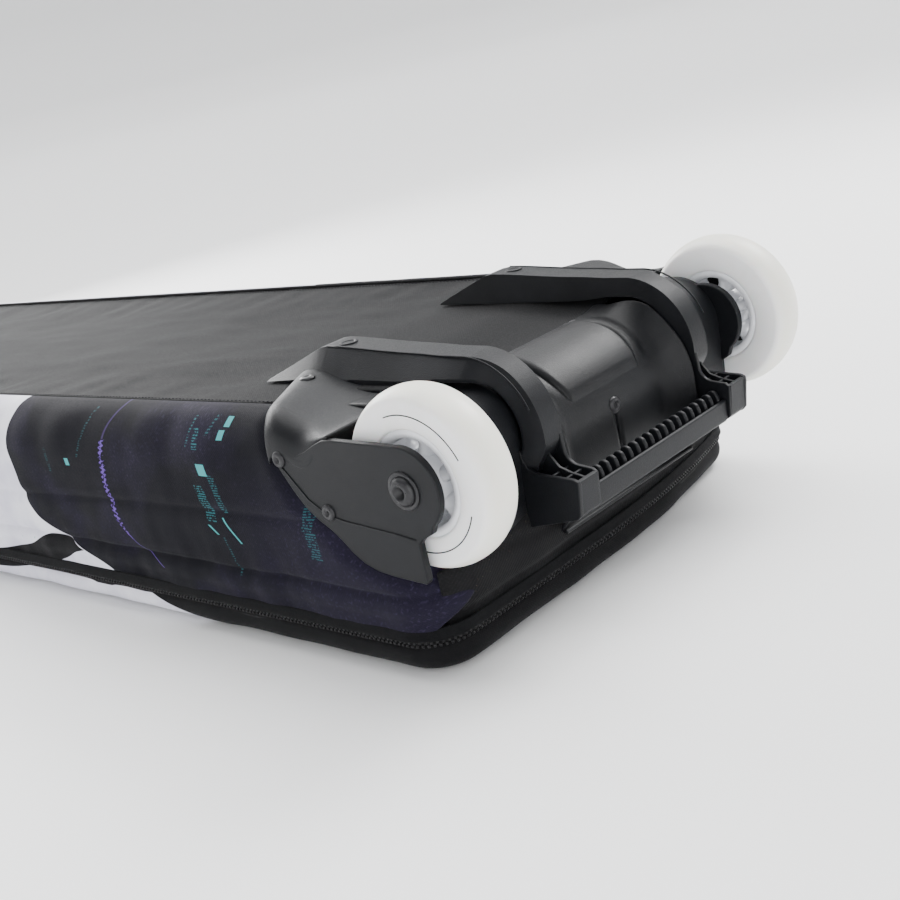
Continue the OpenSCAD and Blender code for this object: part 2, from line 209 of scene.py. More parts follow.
# Upper and lower edge of the black zip band beyond the print: distance from the axle, then height
BAND_TOP = [(-520, 25), (-470, 24), (-419, 25), (-370, 33), (-327, 44), (-299, 37), (-250, 24)]
BAND_LOW = [(-520, 10), (-427, 10), (-371, 17), (-330, 27), (-299, 37), (-250, 40)]
# Path of the pen line on the print: height, then distance from the axle
PEN_LINE = [(30, -205), (38, -217), (54, -244), (77, -251), (97, -250), (110, -247), (127, -238)]


def printed_material(name, lid):
    """Side fabric: a dark speckled print with a squiggle and streaks, light fabric beyond a curved edge."""
    s = Shader(name, (0.01, 0.01, 0.02), 0.85,
               Sheen_Weight=0.04, Sheen_Roughness=0.5, Specular_IOR_Level=0.10)
    place = s.object_place()
    x, y, z = s.split(place)
    x = s.math("MULTIPLY", s.math("SUBTRACT", x, AXLE_X), 1000)
    z = s.math("MULTIPLY", z, 1000)
    flat = s.node("ShaderNodeCombineXYZ", {0: x, 1: z, 2: 0.0}).outputs[0]
    uv = s.uv()
    weave = weave_height(s, uv, 0.8 * MM)
    fine = s.noise(place, 1200, 2)
    cloud = s.noise(flat, 0.014, 3)
    speckle = s.noise(flat, 0.55, 2)
    # Dark print with violet clouds
    near_plate = s.math("MULTIPLY", s.range(x, -150, -70), s.range(z, 112, 78))
    violet = s.math("MAXIMUM", s.range(cloud, 0.5, 0.7), s.math("MULTIPLY", near_plate, 0.8))
    dark = s.mix(violet, (0.0035, 0.0035, 0.0065), (0.0105, 0.0085, 0.0200))
    dark = s.mix(s.math("MULTIPLY", s.range(speckle, 0.55, 0.72), violet), dark, (0.026, 0.021, 0.048))
    if lid:
        dark = s.mix(cloud, (0.0040, 0.0040, 0.0046), (0.0058, 0.0058, 0.0066))
    else:
        dark = add_squiggle(s, dark, x, z)
        dark = add_streaks(s, dark, x, z, flat)
    light_cloud = s.noise(flat, 0.03, 4)
    light = s.mix(s.range(light_cloud, 0.35, 0.65), (0.66, 0.65, 0.76), (0.86, 0.86, 0.93))
    fleck = s.math("GREATER_THAN", s.noise(flat, 0.09, 1), 0.765)
    light = s.mix(s.math("MULTIPLY", fleck, 0.7), light, (0.16, 0.42, 0.45))
    edge = curve_value(s, z, PRINT_EDGE, (0, -370), (134, -180))
    is_light = s.math("LESS_THAN", x, edge)
    base = s.mix(is_light, dark, light)
    top = curve_value(s, x, BAND_TOP, (-520, 0), (-250, 60))
    low = curve_value(s, x, BAND_LOW, (-520, 0), (-250, 60))
    in_band = s.math("MULTIPLY", s.math("LESS_THAN", z, top), s.math("GREATER_THAN", z, low))
    in_band = s.math("MULTIPLY", in_band, is_light)
    base = s.mix(in_band, base, (0.004, 0.004, 0.005))
    base = s.mix(s.math("MULTIPLY", weave, 0.25), base, s.mix(0.5, base, (0.002, 0.002, 0.003)))
    s.set("Base Color", base)
    s.set("Roughness", s.range(fine, 0.3, 0.7, 0.75, 0.95))
    s.bump((weave, 0.3, 0.22 * MM), (fine, 0.25, 0.2 * MM))
    return s


def add_squiggle(s, base, x, z):
    """A looping violet pen line that leans down the side and thins out below."""
    path = curve_value(s, z, PEN_LINE, (30, -255), (127, -200))
    wobble = s.math("MULTIPLY", s.math("SINE", s.math("MULTIPLY", z, 2.1)), 1.1)
    fade = s.range(z, 50, 62)
    away = s.math("ABSOLUTE", s.math("SUBTRACT", x, s.math("ADD", path, s.math("MULTIPLY", wobble, fade))))
    width = s.math("MULTIPLY_ADD", fade, 1.25, 0.35)
    loops = s.noise(s.object_place(), 620, 1)
    broken = s.math("MAXIMUM", s.math("GREATER_THAN", loops, 0.46), s.math("LESS_THAN", z, 54.0))
    tall = s.math("MULTIPLY", s.math("GREATER_THAN", z, 36.0), s.math("LESS_THAN", z, 112.0))
    mask = s.math("MULTIPLY", s.math("MULTIPLY", s.math("LESS_THAN", away, width), broken), tall)
    base = s.mix(mask, base, (0.13, 0.07, 0.34))
    above = s.math("MULTIPLY", s.math("LESS_THAN", s.math("ABSOLUTE", s.math("SUBTRACT", x, path)), 0.9),
                   s.math("GREATER_THAN", z, 112.0))
    return s.mix(s.math("MULTIPLY", above, 0.35), base, (0.10, 0.06, 0.22))


# Leaning columns of dashes: lower end (x, z), upper end (x, z), half width, strength
DASHES = [((-153, 71), (-159, 91), 4.0, 0.55), ((-141, 76), (-146, 98), 2.6, 0.4),
          ((-156, 111), (-157, 121), 2.4, 0.6), ((-164, 112), (-161, 126), 0.8, 0.5),
          ((-148, 118), (-143, 127), 1.2, 0.35), ((-276, 100), (-262, 127), 1.0, 0.25),
          ((-311, 88), (-311, 104), 1.5, 0.2), ((-73, 57), (-74, 72), 4.2, 0.32),
          ((-77, 72), (-72, 88), 3.8, 0.32), ((-142, 40), (-147, 62), 0.8, 0.3)]
# Solid slanted marks: lower end, upper end, half width
MARKS = [((-133.5, 121.8), (-133, 126), 2.3), ((-136.5, 116), (-136, 120.4), 2.3),
         ((-151.2, 97), (-152.4, 103.6), 3.6), ((-151, 63.4), (-157, 68.8), 0.9),
         ((-133.6, 59.4), (-143.6, 73.8), 0.7), ((-288.4, 94), (-288.6, 98.6), 1.9)]


def slanted(s, x, z, low, high, half):
    """1 inside a slanted strip between two points."""
    lean = (high[0] - low[0]) / (high[1] - low[1])
    middle = s.math("MULTIPLY_ADD", s.math("SUBTRACT", z, float(low[1])), lean, float(low[0]))
    near = s.math("LESS_THAN", s.math("ABSOLUTE", s.math("SUBTRACT", x, middle)), half)
    above, below = s.math("GREATER_THAN", z, float(low[1])), s.math("LESS_THAN", z, float(high[1]))
    return s.math("MULTIPLY", near, s.math("MULTIPLY", above, below))


def add_streaks(s, base, x, z, flat):
    """Teal dashes and small solid marks that lean with the print."""
    rows = s.math("GREATER_THAN", s.math("SINE", s.math("MULTIPLY", z, 4.6)), -0.1)
    grain = s.math("GREATER_THAN", s.noise(flat, 0.5, 2), 0.47)
    broken = s.math("MULTIPLY", rows, grain)
    for low, high, half, strength in DASHES:
        mask = s.math("MULTIPLY", s.math("MULTIPLY", slanted(s, x, z, low, high, half), broken), strength)
        base = s.mix(mask, base, (0.03, 0.20, 0.23))
    marks = None
    for low, high, half in MARKS:
        mark = slanted(s, x, z, low, high, half)
        marks = mark if marks is None else s.math("MAXIMUM", marks, mark)
    return s.mix(s.math("MULTIPLY", marks, 0.9), base, (0.07, 0.36, 0.38))


def plastic_material(name, color, roughness=0.5, grain=0.5, scale=1500, shine=0.22):
    s = Shader(name, color, roughness, Specular_IOR_Level=shine)
    place = s.object_place()
    leather = s.noise(place, scale, 2, 0.6)
    wear = s.noise(place, 22, 4)
    lighter = tuple(c * 1.55 + 0.002 for c in color)
    s.set("Base Color", s.mix(s.range(wear, 0.4, 0.72), color, lighter))
    s.set("Roughness", s.range(s.math("ADD", leather, s.math("MULTIPLY", wear, 0.6)), 0.5, 1.2,
                               roughness - 0.1, roughness + 0.14))
    s.bump((leather, grain, 0.22 * MM), (wear, 0.08, 1.0 * MM))
    return s


def metal_material(name, color, roughness=0.3, metallic=1.0):
    s = Shader(name, color, roughness, Metallic=metallic)
    place = s.object_place()
    brushed = s.noise(place, 420, 3)
    s.set("Roughness", s.range(brushed, 0.3, 0.7, roughness - 0.07, roughness + 0.13))
    s.set("Base Color", s.mix(s.range(brushed, 0.3, 0.7), tuple(c * 0.82 for c in color), color))
    s.bump((brushed, 0.12, 0.05 * MM))
    return s


def tyre_material(name, color):
    s = Shader(name, color, 0.36, Specular_IOR_Level=0.5, Subsurface_Weight=0.12, Subsurface_Scale=0.004)
    place = s.object_place()
    fine = s.noise(place, 600, 3)
    scuff = s.noise(place, 45, 5)
    x, y, z = s.split(place)
    radius = s.math("SQRT", s.math("ADD", s.math("POWER", s.math("SUBTRACT", x, AXLE_X), 2.0),
                                   s.math("POWER", s.math("SUBTRACT", z, AXLE_Z), 2.0)))
    # Painted shade: the tread band is coloured darker ivory than the face, standing in for the shade where the
    # tread turns away from the light
    painted_tread_shade = s.range(radius, WHEEL_R - 5 * MM, WHEEL_R - 1 * MM)
    base = s.mix(painted_tread_shade, color, (0.83, 0.82, 0.74))
    s.set("Base Color", s.mix(s.math("MULTIPLY", s.range(scuff, 0.58, 0.75), 0.3), base, (0.68, 0.67, 0.62)))
    s.set("Roughness", s.range(s.math("ADD", fine, scuff), 0.7, 1.3, 0.3, 0.52))
    s.bump((fine, 0.12, 0.12 * MM), (scuff, 0.1, 0.4 * MM))
    return s


def webbing_material(name, color):
    s = Shader(name, color, 0.75, Sheen_Weight=0.06, Sheen_Roughness=0.4, Specular_IOR_Level=0.15)
    place = s.object_place()
    ribs = s.wave(place, 220, "DIAGONAL", 0.6)
    cross = s.wave(place, 260, "X", 0.4)
    both = s.math("MULTIPLY", ribs, cross)
    s.set("Base Color", s.mix(both, tuple(c * 0.5 for c in color), tuple(c * 1.5 for c in color)))
    s.set("Roughness", s.range(both, 0, 1, 0.85, 0.65))
    s.bump((both, 0.5, 0.4 * MM))
    return s


def rough_material(name):
    """Coarse abrasion-proof fabric at the wheel end, with pale flecks where it has rubbed."""
    s = Shader(name, (0.006, 0.006, 0.007), 0.9, Sheen_Weight=0.03, Specular_IOR_Level=0.10)
    place = s.object_place()
    weave = weave_height(s, s.uv(), 1.3 * MM)
    grit = s.noise(place, 750, 3, 0.7)
    cloud = s.noise(place, 30, 4)
    fleck = s.math("GREATER_THAN", s.noise(place, 1100, 1), 0.74)
    fleck = s.math("MULTIPLY", fleck, s.range(cloud, 0.5, 0.62))
    base = s.mix(grit, (0.003, 0.003, 0.0034), (0.010, 0.010, 0.011))
    s.set("Base Color", s.mix(s.math("MULTIPLY", fleck, 0.6), base, (0.10, 0.085, 0.055)))
    s.set("Roughness", s.range(grit, 0.3, 0.7, 0.78, 0.98))
    s.bump((weave, 0.5, 0.4 * MM), (grit, 0.5, 0.35 * MM))
    return s


M_BLACK = cloth_material("black_fabric", (0.0038, 0.0040, 0.0047), sheen=0.02, tint=0.2).mat
M_PRINT = printed_material("printed_fabric", False).mat
M_LID = printed_material("lid_fabric", True).mat
M_ROUGH = rough_material("end_fabric").mat
M_TAPE = cloth_material("zip_tape", (0.004, 0.004, 0.0045), pitch=0.6 * MM, sheen=0.03, use_uv=False).mat
M_WEB = webbing_material("webbing", (0.006, 0.006, 0.007)).mat
M_CHASSIS = plastic_material("moulded_chassis", (0.0036, 0.0040, 0.0052), 0.46, 0.5, 1500, 0.19).mat
M_GUARD = plastic_material("moulded_guard", (0.0034, 0.0037, 0.0047), 0.42, 0.55, 1300, 0.21).mat
M_INSERT = plastic_material("coarse_insert", (0.0048, 0.0050, 0.0060), 0.72, 0.9, 620, 0.12).mat
M_TEETH = plastic_material("zip_teeth", (0.005, 0.005, 0.0055), 0.35, 0.1).mat
M_THREAD = cloth_material("thread", (0.010, 0.010, 0.013), use_uv=False, sheen=0.05).mat
M_THREAD_LIGHT = cloth_material("light_thread", (0.20, 0.20, 0.25), use_uv=False, sheen=0.1).mat
M_STEEL = metal_material("steel", (0.62, 0.62, 0.64), 0.28).mat
M_DARK = metal_material("dark_steel", (0.010, 0.010, 0.012), 0.34, 0.3).mat
M_SLIDER = metal_material("slider_metal", (0.03, 0.03, 0.033), 0.3, 0.5).mat
M_TYRE = tyre_material("wheel_rubber", (0.86, 0.86, 0.86)).mat
M_CORE = plastic_material("wheel_core", (0.66, 0.67, 0.70), 0.22, 0.06, 900, 0.6).mat
M_LINE = plastic_material("wheel_print", (0.006, 0.006, 0.007), 0.4, 0.05).mat
M_BOARD = plastic_material("board", (0.55, 0.55, 0.52), 0.45, 0.2).mat
M_BUCKLE = plastic_material("buckle", (0.02, 0.02, 0.022), 0.4, 0.2).mat
M_LINING = cloth_material("lining", (0.06, 0.06, 0.065), use_uv=False, sheen=0.05).mat
M_BLACK_PAD = cloth_material("grip_fabric", (0.006, 0.006, 0.007), use_uv=False, sheen=0.05).mat


# Material, body and slot of the chassis pieces and of the dark screws and rivets
CHASSIS = (M_CHASSIS, "bag", "chassis")
DARK = (M_DARK, "bag", "dark_steel")


# ---- Mesh helpers ----

def smooth(value, low, high):
    t = np.clip((value - low) / (high - low), 0, 1)
    return t * t * (3 - 2 * t)


def noise_at(points, scale, seed):
    """Smooth noise from -1 to 1 at each point."""
    shift = Vector((seed * 7.31, seed * 3.17, seed * 1.93))
    return np.array([noise.noise(Vector(p) * scale + shift) for p in points])


def make_object(name, verts, faces, material, body):
    mesh = bpy.data.meshes.new(name)
    mesh.from_pydata([tuple(v) for v in verts], [], [tuple(f) for f in faces])
    mesh.update()
    obj = bpy.data.objects.new(name, mesh)
    bpy.context.scene.collection.objects.link(obj)
    mesh.materials.append(material)
    mesh.polygons.foreach_set("use_smooth", [True] * len(mesh.polygons))
    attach(obj, body)
    return obj


def add_uv(obj, uv):
    """Gives the mesh the cloth's own coordinates, in metres, one pair for each vertex."""
    layer = obj.data.uv_layers.new(name="cloth")
    loops = np.zeros(len(obj.data.loops), int)
    obj.data.loops.foreach_get("vertex_index", loops)
    layer.data.foreach_set("uv", np.asarray(uv, float)[loops].ravel())


def grid_object(name, points, uv, material, body, slot, keep=None, thickness=2 * MM, subdivide=1, flip=False):
    """A panel from a grid of points (rows, columns, 3). keep says which faces stay."""
    rows, cols = points.shape[:2]
    if uv is None:
        uv = np.zeros((rows, cols, 2))
    faces = []
    for r in range(rows - 1):
        for c in range(cols - 1):
            a = r * cols + c
            quad = (a, a + 1, a + cols + 1, a + cols)
            if keep is None or keep[r, c]:
                faces.append(quad[::-1] if flip else quad)
    obj = make_object(name, points.reshape(-1, 3), faces, material, body)
    add_uv(obj, uv.reshape(-1, 2))
    drop_loose(obj)
    add_thickness(obj, thickness)
    if subdivide:
        obj.modifiers.new("smooth", "SUBSURF").levels = subdivide
        obj.modifiers["smooth"].render_levels = subdivide
    return obj


def add_thickness(obj, thickness):
    solid = obj.modifiers.new("thickness", "SOLIDIFY")
    solid.thickness = thickness
    solid.offset = -1


def drop_loose(obj):
    bm = bmesh.new()
    bm.from_mesh(obj.data)
    bmesh.ops.delete(bm, geom=[v for v in bm.verts if not v.link_faces], context="VERTS")
    bm.to_mesh(obj.data)
    bm.free()


def loft(name, rings, material, body, slot, bevel=0.0):
    """A closed skin through rings of points with the same count."""
    n = len(rings[0])
    verts = [p for ring in rings for p in ring]
    faces = []
    for i in range(len(rings) - 1):
        for j in range(n):
            k = (j + 1) % n
            faces.append((i * n + j, i * n + k, (i + 1) * n + k, (i + 1) * n + j))
    faces.append(tuple(range(n))[::-1])
    faces.append(tuple(range((len(rings) - 1) * n, len(rings) * n)))
    obj = make_object(name, verts, faces, material, body)
    fix_normals(obj)
    if bevel:
        add_bevel(obj, bevel)
    return obj


def fix_normals(obj):
    bm = bmesh.new()
    bm.from_mesh(obj.data)
    bmesh.ops.recalc_face_normals(bm, faces=bm.faces)
    bm.to_mesh(obj.data)
    bm.free()


def add_bevel(obj, width, segments=3, angle=35):
    bevel = obj.modifiers.new("edges", "BEVEL")
    bevel.width = width
    bevel.segments = segments
    bevel.limit_method = "ANGLE"
    bevel.angle_limit = math.radians(angle)
    weighted = obj.modifiers.new("normals", "WEIGHTED_NORMAL")
    weighted.keep_sharp = True


def chassis_plate(name, outline, near, far, bevel=0.8 * MM):
    """An outline of (x, z) millimetres from the axle, as a plate between two places across, in millimetres."""
    rings = [[at(x, y, z) for x, z in outline] for y in sorted((near, far))]
    return loft(name, rings, *CHASSIS, bevel=bevel)


def lathe(name, profile, centre, material, body, slot, segments=96, axis="Y", side=1):
    """A closed outline of (radius, along) millimetres turned round an axis. side flips the axis."""
    rings = []
    for i in range(segments):
        a = i * math.tau / segments
        ring = []
        for radius, along in profile:
            u, v = radius * math.cos(a), radius * math.sin(a)
            offset = {"Y": (u, side * along, v), "X": (side * along, u, v), "Z": (u, v, side * along)}[axis]
            ring.append(Vector(centre) + Vector(offset) * MM)
        rings.append(ring)
    n = len(profile)
    verts = [p for ring in rings for p in ring]
    faces = []
    for i in range(segments):
        here, after = i * n, (i + 1) % segments * n
        for j in range(n):
            k = (j + 1) % n
            faces.append((here + j, here + k, after + k, after + j))
    obj = make_object(name, verts, faces, material, body)
    fix_normals(obj)
    return obj


def arc(cx, cy, r, start, end, steps):
    """Points on an arc, angles in degrees."""
    return [(cx + r * math.cos(math.radians(start + (end - start) * i / steps)),
             cy + r * math.sin(math.radians(start + (end - start) * i / steps))) for i in range(steps + 1)]


def tube(name, path, radius, material, body, slot, sides=8):
    """A round tube along a list of points."""
    path = [Vector(p) for p in path]
    rings = []
    for i, p in enumerate(path):
        t = (path[min(i + 1, len(path) - 1)] - path[max(i - 1, 0)]).normalized()
        side = t.cross(Vector((0, 0, 1)))
        side = side.normalized() if side.length > 1e-4 else Vector((0, 1, 0))
        up = side.cross(t)
        rings.append([p + radius * (math.cos(a) * side + math.sin(a) * up)
                      for a in (math.tau * k / sides for k in range(sides))])
    return loft(name, rings, material, body, slot)


def soft_box(count, half_u, half_v, power_u, power_v):
    """Points round a box with soft corners. A lower power gives squarer corners."""
    points = []
    for k in range(count):
        u, v = math.cos(math.tau * k / count), math.sin(math.tau * k / count)
        points.append((half_u * math.copysign(abs(u) ** power_u, u), half_v * math.copysign(abs(v) ** power_v, v)))
    return points


def resample(path, spacing):
    """Points at even spacing along a polyline."""
    path = np.array([list(p) for p in path], float)
    steps = np.linalg.norm(np.diff(path, axis=0), axis=1)
    along = np.concatenate([[0], np.cumsum(steps)])
    places = np.arange(0, along[-1], spacing)
    return np.stack([np.interp(places, along, path[:, k]) for k in range(3)], 1)


STITCH_PITCH = 3.4 * MM
STITCH_LENGTH = 2.3 * MM
THREAD_RADIUS = 0.32 * MM
# Rings of one thread loop: share of its length, rise and width in thread radii
THREAD_RINGS = ((0.0, -0.2, 0.5), (0.2, 0.75, 1.0), (0.5, 1.0, 1.0), (0.8, 0.75, 1.0), (1.0, -0.2, 0.5))


def stitches(name, path, normal, material):
    """A row of short thread loops on the bag that stand a little proud of the cloth. normal points out of it."""
    points = resample(path, STITCH_PITCH)
    out = Vector(normal)
    sides = 5
    last = (len(THREAD_RINGS) - 1) * sides
    verts, faces = [], []
    for i in range(len(points) - 1):
        p = Vector(points[i])
        t = (Vector(points[i + 1]) - p).normalized()
        side = t.cross(out).normalized()
        base = len(verts)
        for share, rise, width in THREAD_RINGS:
            c = p + t * STITCH_LENGTH * share + out * THREAD_RADIUS * rise
            for k in range(sides):
                a = math.tau * k / sides
                verts.append(c + THREAD_RADIUS * width * (math.cos(a) * side + math.sin(a) * out))
        for ring in range(base, base + last, sides):
            for k in range(sides):
                a, b = ring + k, ring + (k + 1) % sides
                faces.append((a, b, b + sides, a + sides))
        faces.append(tuple(range(base, base + sides))[::-1])
        faces.append(tuple(range(base + last, base + last + sides)))
    make_object(name, verts, faces, material, "bag")


def merge(name, objs):
    """Joins pieces of one body into one object."""
    bpy.ops.object.select_all(action="DESELECT")
    for o in objs:
        o.select_set(True)
    bpy.context.view_layer.objects.active = objs[0]
    bpy.ops.object.join()
    objs[0].name = name
    objs[0].data.name = name
    return objs[0]


# ---- Camera, light and floor ----

CAMERA_PLACE = at(431.9, -534.5, 195.3)
CAMERA_TURN = (45.9, 17.4, -12.9)      # azimuth, elevation and roll in degrees
CAMERA_LENS = 53.8


def add_camera():
    azimuth, elevation, roll = (math.radians(v) for v in CAMERA_TURN)
    back = Vector((math.sin(azimuth) * math.cos(elevation), -math.cos(azimuth) * math.cos(elevation),
                   math.sin(elevation)))
    right = Vector((0, 0, 1)).cross(back).normalized()
    up = back.cross(right)
    turned_right = right * math.cos(roll) + up * math.sin(roll)
    turned_up = back.cross(turned_right)
    data = bpy.data.cameras.new("camera")
    data.lens = CAMERA_LENS
    data.sensor_width = 36
    data.clip_start, data.clip_end = 0.01, 50
    cam = bpy.data.objects.new("camera", data)
    cam.matrix_world = Matrix((
        (turned_right.x, turned_up.x, back.x, CAMERA_PLACE.x),
        (turned_right.y, turned_up.y, back.y, CAMERA_PLACE.y),
        (turned_right.z, turned_up.z, back.z, CAMERA_PLACE.z),
        (0, 0, 0, 1)))
    bpy.context.scene.collection.objects.link(cam)
    bpy.context.scene.camera = cam


def add_light(name, place, target, size, power):
    data = bpy.data.lights.new(name, "AREA")
    data.shape = "RECTANGLE"
    data.size, data.size_y = size
    data.energy = power
    lamp = bpy.data.objects.new(name, data)
    lamp.location = place
    lamp.rotation_mode = "QUATERNION"
    lamp.rotation_quaternion = (Vector(target) - Vector(place)).to_track_quat("-Z", "Y")
    bpy.context.scene.collection.objects.link(lamp)


def add_studio():
    world = bpy.data.worlds.new("studio")
    bpy.context.scene.world = world
    world.use_nodes = True
    background = world.node_tree.nodes["Background"]
    background.inputs["Color"].default_value = (0.95, 0.97, 1.0, 1)
    background.inputs["Strength"].default_value = 0.6
    sun = bpy.data.lights.new("sun", "SUN")
    sun.energy = 4.3
    sun.angle = math.radians(70)
    lamp = bpy.data.objects.new("sun", sun)
    lamp.rotation_euler = (math.radians(-22), math.radians(-14), 0)
    bpy.context.scene.collection.objects.link(lamp)
    add_light("front", at(1100, -900, 500), at(-60, 0, 0), (1.0, 1.0), 7)
    add_light("rim", at(260, 1350, 1150), at(-10, 0, 0), (0.9, 0.6), 30)
    add_light("graze", at(-1500, 260, 560), at(-150, -60, 20), (1.0, 0.6), 26)
    floor_shader = Shader("floor", (0.93, 0.93, 0.93), 0.7)
    grain = floor_shader.noise(floor_shader.object_place(), 3, 2)
    floor_shader.set("Roughness", floor_shader.range(grain, 0.3, 0.7, 0.65, 0.8))
    # A wide pale floor that turns up far away, so no horizon shows
    profile = [(0.0, 0.0), (12, 0.0), (16, 0.3), (19, 1.4), (21, 3.4), (22, 6.0), (22.5, 10.0), (22.8, 15.0)]
    count = 48
    verts = [(r * math.cos(math.tau * k / count), r * math.sin(math.tau * k / count), z - 0.6 * MM)
             for r, z in profile[1:] for k in range(count)] + [(0, 0, -0.6 * MM)]
    faces = [(len(verts) - 1, k, (k + 1) % count) for k in range(count)]
    for ring in range(len(profile) - 2):
        for k in range(count):
            here, after = ring * count + k, ring * count + (k + 1) % count
            faces.append((here, here + count, after + count, after))
    mesh = bpy.data.meshes.new("floor")
    mesh.from_pydata(verts, [], faces)
    mesh.polygons.foreach_set("use_smooth", [True] * len(mesh.polygons))
    mesh.materials.append(floor_shader.mat)
    floor = bpy.data.objects.new("floor", mesh)
    bpy.context.scene.collection.objects.link(floor)


# ---- Bag fabric ----

def seam_height(x):
    """Height of the seam between the back panel and a side wall."""
    return TOP_NOSE + (TOP_END - TOP_NOSE) * (x - NOSE_X) / (GUARD_X - NOSE_X) + 2.0 * MM


def belt_path(count):
    """Plan of the bag's right half, from the middle of the wheel end round to the middle of the nose.

    Gives its points, the outward normals and the length along it.
    """
    x1, x0, w = END_X, NOSE_X, HALF_W
    h, n = HEEL_CORNER, NOSE_CORNER
    steps = [(x1, y) for y in np.linspace(0, -(w - h), 40)]
    steps += arc(x1 - h, -(w - h), h, 0, -90, 14)
    steps += [(x, -w) for x in np.linspace(x1 - h, x0 + n, 400)]
    steps += arc(x0 + n, -(w - n), n, -90, -180, 30)
    steps += [(x0, y) for y in np.linspace(-(w - n), 0, 30)]
    path = np.array(steps)
    lengths = np.concatenate([[0], np.cumsum(np.linalg.norm(np.diff(path, axis=0), axis=1))])
    # Even spacing near the wheels, wider towards the nose
    t = np.linspace(0, 1, count)
    places = lengths[-1] * (0.38 * t + 0.62 * t ** 2)
    p = np.stack([np.interp(places, lengths, path[:, k]) for k in range(2)], 1)
    d = np.gradient(p, axis=0)
    d /= np.linalg.norm(d, axis=1)[:, None]
    normal = np.stack([-d[:, 1], d[:, 0]], 1)
    normal *= np.where((normal * p).sum(1) < 0, -1, 1)[:, None]
    return p, normal, places


def sag_in(x, y, z):
    """How far the soft lower edge of the wheel end has drawn back towards the bag's left corner."""
    near_end = smooth(x, END_X - 190 * MM, END_X - 20 * MM)
    low = 1 - smooth(z, 36 * MM, 62 * MM)
    across = np.maximum(0, y + 20 * MM)
    return 0.85 * across ** 2 * near_end * low


def print_stitch_height(x):
    """Height of the long stitch line on a side wall."""
    return 70 * MM + 7 * MM * smooth(x, AXLE_X - 420 * MM, AXLE_X - 130 * MM)


def belt_offset(x, y, z, top, lean):
    """How far the side stands out from the bag's plan: it leans in to the top seam and bulges below."""
    shoulder = top - 32 * MM
    up = np.clip((z - shoulder) / (top - shoulder), 0, 1)
    leaned = -lean * (1 - np.sqrt(np.clip(1 - up ** 2.2, 0, 1)))
    bulge = 1.2 * MM * np.sin(np.clip((z - SEAM_A) / (shoulder - SEAM_A), 0, 1) * math.pi)
    return leaned + bulge - 1.2 * MM


def wrinkle(points, top):
    """Folds of the side wall: pleats from the top seam that gather at the lower one, and soft dents."""
    x, z = points[:, 0], points[:, 2]
    k = noise_at(points * [1, 1, 0.25], 34, 1)
    fine = noise_at(points * [1, 1, 0.35], 95, 2)
    soft = noise_at(points, 11, 3)
    dents = noise_at(points * [1, 1, 1.6], 24, 4)
    near_top = smooth(z, top - 50 * MM, top - 6 * MM) * (1 - smooth(z, top - 6 * MM, top))
    near_low = 1 - smooth(z, SEAM_A, SEAM_A + 30 * MM)
    pleats = k * (0.8 + 1.9 * near_top + 1.2 * near_low) + 0.5 * fine * (0.4 + near_low)
    return (1.6 * soft + 1.3 * dents + pleats) * MM


def under_plate(points):
    """1 where the side wall lies under the side plate, fading out round it."""
    x, z = points[:, 0] - AXLE_X, points[:, 2] - AXLE_Z
    edge = np.interp(z, np.array([-60, -47, -40, -27, -17, 2, 15, 28, 45]) * MM,
                     np.array([10, -30, -48, -60, -76, -88, -95, -100, -100]) * MM)
    return smooth(x, edge - 9 * MM, edge + 2 * MM) * smooth(z, -57 * MM, -48 * MM)


def all_corners(mask):
    """For each face of a grid, whether the mask holds at all four of its corners."""
    return mask[:-1, :-1] & mask[1:, :-1] & mask[:-1, 1:] & mask[1:, 1:]


